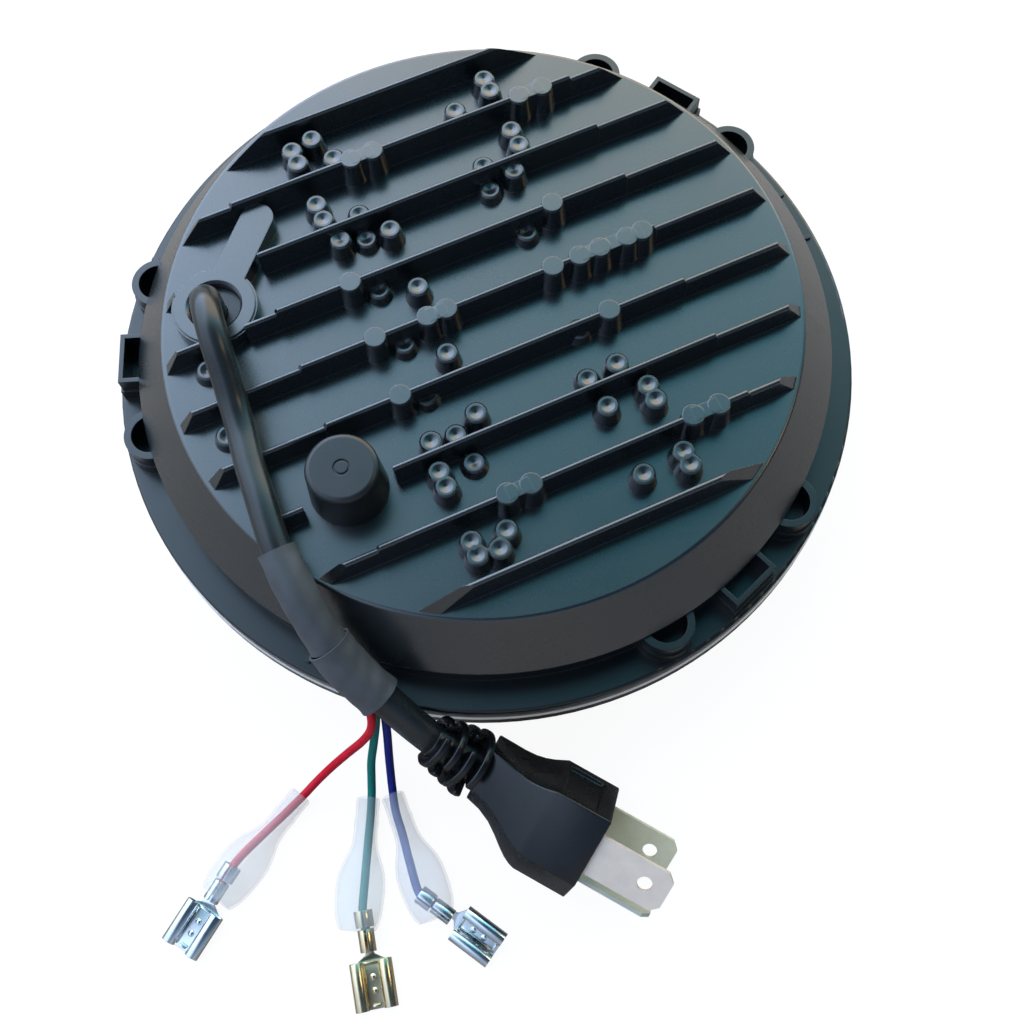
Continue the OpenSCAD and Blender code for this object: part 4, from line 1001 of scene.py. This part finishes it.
def folded_terminal():
    """Push-on receptacle folded from one sheet along +X, with its two crimps, the wire on the X axis"""
    floor = -GRIP_RADIUS
    roll = ROLL_HEIGHT / 2
    roll_y = TERMINAL_WIDTH / 2 - roll
    bpy.ops.mesh.primitive_plane_add(
        size=1, location=metres((RECEPTACLE_START + RECEPTACLE_LENGTH / 2, 0, floor)))
    sheet = settled(metres((RECEPTACLE_LENGTH, 2 * roll_y, 1)))
    edit(sheet)
    for side in (1, -1):
        choose_edges(sheet, lambda p: abs(p.y - side * roll_y) < 0.01 and abs(p.z - floor) < 0.01)
        swing(-side * ROLL_SWING, (0, side * roll_y, floor + roll), (1, 0, 0), 14)
    choose_edges(sheet, lambda p: abs(p.x - RECEPTACLE_START) < 0.01 and abs(p.z - floor) < 0.01
                 and abs(p.y) < roll_y + 0.01)
    barrel_end = BARREL_START + BARREL_LENGTH
    x, z = barrel_end + NECK_LENGTH, floor
    half = NECK_HALF_WIDTH
    extrude((x - RECEPTACLE_START, 0, 0))
    resize((1, half / roll_y, 1), (x, 0, z))
    for dx, new_half, dz in CRIMP_STEPS:
        extrude((dx, 0, dz))
        x, z = x + dx, z + dz
        resize((1, new_half / half, 1), (x, 0, z))
        half = new_half
    for side in (1, -1):
        choose_edges(sheet, lambda p: side * p.y > 0.6 and BARREL_START - 0.01 < p.x < barrel_end + 0.01
                     and p.z < floor + 0.4)
        swing(-side * BARREL_SWING, (0, 0, 0), (1, 0, 0), 10)
        choose_edges(sheet, lambda p: side * p.y > 0.6 and p.x < GRIP_LENGTH + 0.02 and p.z < floor + 0.1)
        swing(-side * GRIP_SWING, (0, 0, 0), (1, 0, 0), 10)
    done()
    face_outwards(sheet)
    with_modifier(sheet, "SOLIDIFY", thickness=SHEET_THICKNESS * MM, offset=0)
    with_modifier(
        sheet, "BEVEL", width=SHEET_EDGE * MM, segments=2, limit_method="ANGLE",
        angle_limit=math.radians(40))
    return sheet


def stop_tab():
    """Two bent tabs and two locking dimples inside the receptacle"""
    made = []
    floor = -GRIP_RADIUS
    for along, width in STOP_TABS:
        bpy.ops.mesh.primitive_cube_add(
            size=1, location=metres((RECEPTACLE_START + along, 0, floor + TAB_HEIGHT / 2)))
        made.append(settled(metres((TAB_THICKNESS, width, TAB_HEIGHT))))
    for along in DIMPLES:
        bpy.ops.mesh.primitive_uv_sphere_add(
            segments=20, ring_count=10, radius=DIMPLE_RADIUS * MM,
            location=metres((RECEPTACLE_START + along, 0, floor - DIMPLE_DROP)))
        made.append(settled((1, 1, DIMPLE_FLATNESS)))
    tabs = join(made)
    soften_sharp_edges(tabs, 0.1, 2, 60)
    return tabs


def make_terminals(materials):
    """The receptacle, modelled once, on each wire"""
    pattern = join([folded_terminal(), stop_tab()])
    for colour, (at, pose) in TERMINALS.items():
        terminal = own_copy(pattern)
        terminal.data.transform(Matrix.Translation(metres(at)) @ turned(pose))
        material, slot = materials[colour]
        piece(terminal, f"{colour}_receptacle", material, [f"{colour}_terminal"], 40)
    bpy.data.objects.remove(pattern)


# Fin pins

def flat_pin_top():
    """Low disc with a soft edge, its top at its own origin"""
    bpy.ops.mesh.primitive_cylinder_add(
        vertices=32, radius=PIN_TOP_WIDTH / 2 * MM, depth=PIN_TOP_DEPTH * MM,
        location=metres((0, 0, -PIN_TOP_DEPTH / 2)))
    disc = settled()
    soften_sharp_edges(disc, 0.14, 2, 40)
    return disc


def pin_web(start, end, across):
    """Wall between two pins of one fin, drafted like the fin"""
    height = FIN_CREST - FIN_FOOT
    bpy.ops.mesh.primitive_cube_add(
        size=1, location=metres(((start + end) / 2, across, FIN_CREST - height / 2)))
    web = settled(metres((end - start, PIN_WEB_WIDTH, height)))
    edit(web)
    choose_faces(web, lambda c, n: n.z < -0.9)
    resize((1, PIN_WEB_DRAFT, 1), ((start + end) / 2, across, FIN_FOOT))
    done()
    return web


def make_pin_tops(material):
    """Flat tops of the pins that stand in a fin, just over its crest, and the webs between close ones

    Each top in a group stands a hair over the one before it, so that no two share a plane.
    """
    disc = flat_pin_top()
    made = []
    for row, groups in FIN_PIN_GROUPS:
        across = row * FIN_PITCH
        for group in groups:
            for k, along in enumerate(group):
                top = own_copy(disc)
                height = FIN_CREST + (k + 1) * PIN_TOP_PROUD
                top.data.transform(Matrix.Translation(metres((along, across, height))))
                made.append(top)
            for start, end in zip(group, group[1:]):
                made.append(pin_web(start, end, across))
    bpy.data.objects.remove(disc)
    tops = join(made)
    tops.data.transform(Matrix.Rotation(math.radians(FIN_TURN), 4, "Z"))
    return piece(tops, "fin_pin_tops", material, (), 15)


# Sleeves and cords

def make_sleeve(name, sleeve, node):
    """Shrunk sleeve with faint folds, a little wider at its two mouths"""
    route, diameter, bore = sleeve

    def radius(share, angle):
        folds = sum(high * math.sin(m * share + n * angle) for high, m, n in SLEEVE_FOLDS)
        mouth = SLEEVE_MOUTH * max(0.0, 1 - 14 * min(share, 1 - share))
        return diameter / 2 - SLEEVE_INSET + folds + mouth

    skin = tube(name, smooth_route(route, 12), radius, 40, bore)
    return piece(skin, name, shrink_sleeve(), [node], 50)


def make_cable():
    p = looks()

    def radius(share, angle):
        lead = min(1.0, max(0.0, (share - LEAD_BEGINS + LEAD_EARLY) / LEAD_WIDENING))
        return (p.cable_diameter + lead * (p.lead_diameter - p.cable_diameter)) / 2 / MM

    cable = tube("cable_sheath", smooth_route(CABLE_ROUTE, 10), radius, 36)
    return piece(cable, "cable_sheath", cord_rubber(), ["main_cable", "plug_lead"], 60)


def make_wire(colour, route, tint):
    radius = looks().wire_diameter / 2 / MM
    wire = tube(f"{colour}_lead", smooth_route(route, 10), lambda share, angle: radius, 20)
    material = wire_insulation(f"{colour} insulation", tint)
    return piece(wire, f"{colour}_lead", material, [f"{colour}_wire"], 60)


class HeadlightLooks(bpy.types.PropertyGroup):
    """Sizes and colours that a user would change"""

    cable_diameter: bpy.props.FloatProperty(
        name="Cable", description="Diameter of the main cable", default=0.0054, unit="LENGTH")
    lead_diameter: bpy.props.FloatProperty(
        name="Lead", description="Diameter of the lead to the plug", default=0.0060, unit="LENGTH")
    wire_diameter: bpy.props.FloatProperty(
        name="Wire", description="Diameter of each single wire", default=0.0016, unit="LENGTH")
    floor_width: bpy.props.FloatProperty(
        name="Floor", description="Width of the square floor", default=4.0, unit="LENGTH")
    room_light: bpy.props.FloatProperty(
        name="Room light", description="Strength of the light from the room", default=3.6)
    casting_colour: bpy.props.FloatVectorProperty(
        name="Casting", description="Main tone of the coated casting", subtype="COLOR",
        default=(0.004, 0.008, 0.010))
    casting_second_colour: bpy.props.FloatVectorProperty(
        name="Casting, second tone", description="Second tone of the coated casting", subtype="COLOR",
        default=(0.007, 0.012, 0.014))
    red_wire: bpy.props.FloatVectorProperty(
        name="Red wire", description="Insulation of the red wire", subtype="COLOR",
        default=(0.80, 0.0, 0.022))
    green_wire: bpy.props.FloatVectorProperty(
        name="Green wire", description="Insulation of the green wire", subtype="COLOR",
        default=(0.0, 0.24, 0.19))
    blue_wire: bpy.props.FloatVectorProperty(
        name="Blue wire", description="Insulation of the blue wire", subtype="COLOR",
        default=(0.004, 0.014, 0.24))


class HEADLIGHT_OT_stage(bpy.types.Operator):
    """Camera, pale floor and soft studio light"""

    bl_idname = "headlight.stage"
    bl_label = "Stage"

    def execute(self, context):
        context.scene.view_settings.view_transform = "Standard"
        make_camera()
        light_world()
        make_floor()
        make_lamp()
        return {"FINISHED"}


class HEADLIGHT_OT_cords(bpy.types.Operator):
    """Cable from the boss to the plug, its two shrunk sleeves and the three single wires"""

    bl_idname = "headlight.cords"
    bl_label = "Cords"

    def execute(self, context):
        p = context.scene.headlight_looks
        make_cable()
        make_sleeve("upper_shrink", UPPER_SLEEVE, "upper_sleeve")
        make_sleeve("lower_shrink", LOWER_SLEEVE, "lower_sleeve")
        for colour, route in WIRE_ROUTES.items():
            make_wire(colour, route, getattr(p, f"{colour}_wire"))
        return {"FINISHED"}


class HEADLIGHT_OT_plug(bpy.types.Operator):
    """Moulded plug with its strain relief, and the finish of its three blades"""

    bl_idname = "headlight.plug"
    bl_label = "Plug"

    def execute(self, context):
        make_plug()
        # The rear blade's tone carries painted light against the front blade's shade
        for node, name, tone in BLADES:
            worn = tuple(BLADE_WEAR * c for c in tone)
            finish_nodes(bare_metal(name, tone, worn, 0.32, 0.45, BLADE_METALLIC), node)
        return {"FINISHED"}


class HEADLIGHT_OT_boots(bpy.types.Operator):
    """Clear boots on the three wires"""

    bl_idname = "headlight.boots"
    bl_label = "Boots"

    def execute(self, context):
        make_boots()
        return {"FINISHED"}


class HEADLIGHT_OT_terminals(bpy.types.Operator):
    """Folded push-on receptacles on the three wires"""

    bl_idname = "headlight.terminals"
    bl_label = "Terminals"

    def execute(self, context):
        tinned = bare_metal("tinned sheet", (0.80, 0.83, 0.83), (0.68, 0.72, 0.73), 0.14, 0.28)
        brass = bare_metal("brass sheet", (0.86, 0.72, 0.46), (0.76, 0.60, 0.36), 0.14, 0.28)
        make_terminals({
            "red": (tinned, "tinned_terminal"), "green": (brass, "brass_terminal"),
            "blue": (tinned, "tinned_terminal")})
        return {"FINISHED"}


class HEADLIGHT_OT_body(bpy.types.Operator):
    """Finishes of the casting, ring, cap, gland, seals and lens, and the flat tops of the fin pins"""

    bl_idname = "headlight.body"
    bl_label = "Body"

    def execute(self, context):
        casting = satin_casting()
        finish_nodes(casting, "rear_housing")
        make_pin_tops(casting)
        finish_nodes(ring_plastic(), "mounting_ring")
        finish_nodes(cap_rubber(), "breather_cap")
        finish_nodes(cord_rubber(), "cable_gland")
        finish_nodes(seal_rubber(), "lens_seal", "housing_gasket")
        finish_nodes(clear_lens(), "lens")
        return {"FINISHED"}


class HEADLIGHT_OT_optics(bpy.types.Operator):
    """Finishes of the beams, the ring light, the boards and the screws behind the lens"""

    bl_idname = "headlight.optics"
    bl_label = "Optics"

    def execute(self, context):
        steel = bare_metal("screw steel", (0.6, 0.6, 0.6), (0.5, 0.5, 0.5), 0.25, 0.4)
        mirror = bare_metal("bright reflector", (0.85, 0.85, 0.85), (0.8, 0.8, 0.8), 0.04, 0.1)
        projector = clear_lens()
        bezel = moulded_plastic("bezel", (0.015, 0.015, 0.016), (0.022, 0.022, 0.023), 0.4, 0.5)
        finish_nodes(bezel, "inner_bezel")
        guide = moulded_plastic("milky guide", (0.78, 0.79, 0.77), (0.7, 0.71, 0.69), 0.2, 0.3)
        finish_nodes(guide, "halo_light_guide")
        for node in ("halo_board", "low_beam_board", "high_beam_board"):
            finish_nodes(board_face(f"white board {node}", (0.75, 0.75, 0.71), (0.62, 0.62, 0.58)), node)
        finish_nodes(board_face("green board", (0.02, 0.12, 0.05), (0.03, 0.18, 0.07)), "driver_board")
        finish_nodes(projector, "low_beam_lens", "high_beam_lens")
        finish_nodes(mirror, "low_beam_reflector", "high_beam_reflector")
        finish_nodes(steel, "housing_screws", "board_screws")
        return {"FINISHED"}


class HEADLIGHT_OT_declare_cords(bpy.types.Operator):
    """Does nothing and finishes at once"""

    bl_idname = "headlight.declare_cords"
    bl_label = "Declare cords"

    def execute(self, context):
        return {"FINISHED"}


OPERATORS = (
    HEADLIGHT_OT_stage, HEADLIGHT_OT_cords, HEADLIGHT_OT_plug, HEADLIGHT_OT_boots,
    HEADLIGHT_OT_terminals, HEADLIGHT_OT_body, HEADLIGHT_OT_optics, HEADLIGHT_OT_declare_cords,
)


class HEADLIGHT_PT_panel(bpy.types.Panel):
    """Buttons for each group of pieces, and the sizes and colours"""

    bl_idname = "HEADLIGHT_PT_panel"
    bl_label = "Round headlight"
    bl_space_type = "VIEW_3D"
    bl_region_type = "UI"
    bl_category = "Headlight"

    def draw(self, context):
        for name in HeadlightLooks.__annotations__:
            self.layout.prop(context.scene.headlight_looks, name)
        for operator in OPERATORS:
            self.layout.operator(operator.bl_idname)


CLASSES = (HeadlightLooks, *OPERATORS, HEADLIGHT_PT_panel)


def register():
    for cls in CLASSES:
        bpy.utils.register_class(cls)
    bpy.types.Scene.headlight_looks = bpy.props.PointerProperty(type=HeadlightLooks)


def unregister():
    del bpy.types.Scene.headlight_looks
    for cls in reversed(CLASSES):
        bpy.utils.unregister_class(cls)


def main():
    register()
    bpy.ops.headlight.stage()
    bpy.ops.headlight.cords()
    bpy.ops.headlight.plug()
    bpy.ops.headlight.boots()
    bpy.ops.headlight.terminals()
    bpy.ops.headlight.body()
    bpy.ops.headlight.optics()
    bpy.ops.headlight.declare_cords()
    alone(None)
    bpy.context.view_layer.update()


if __name__ == "__main__":
    main()
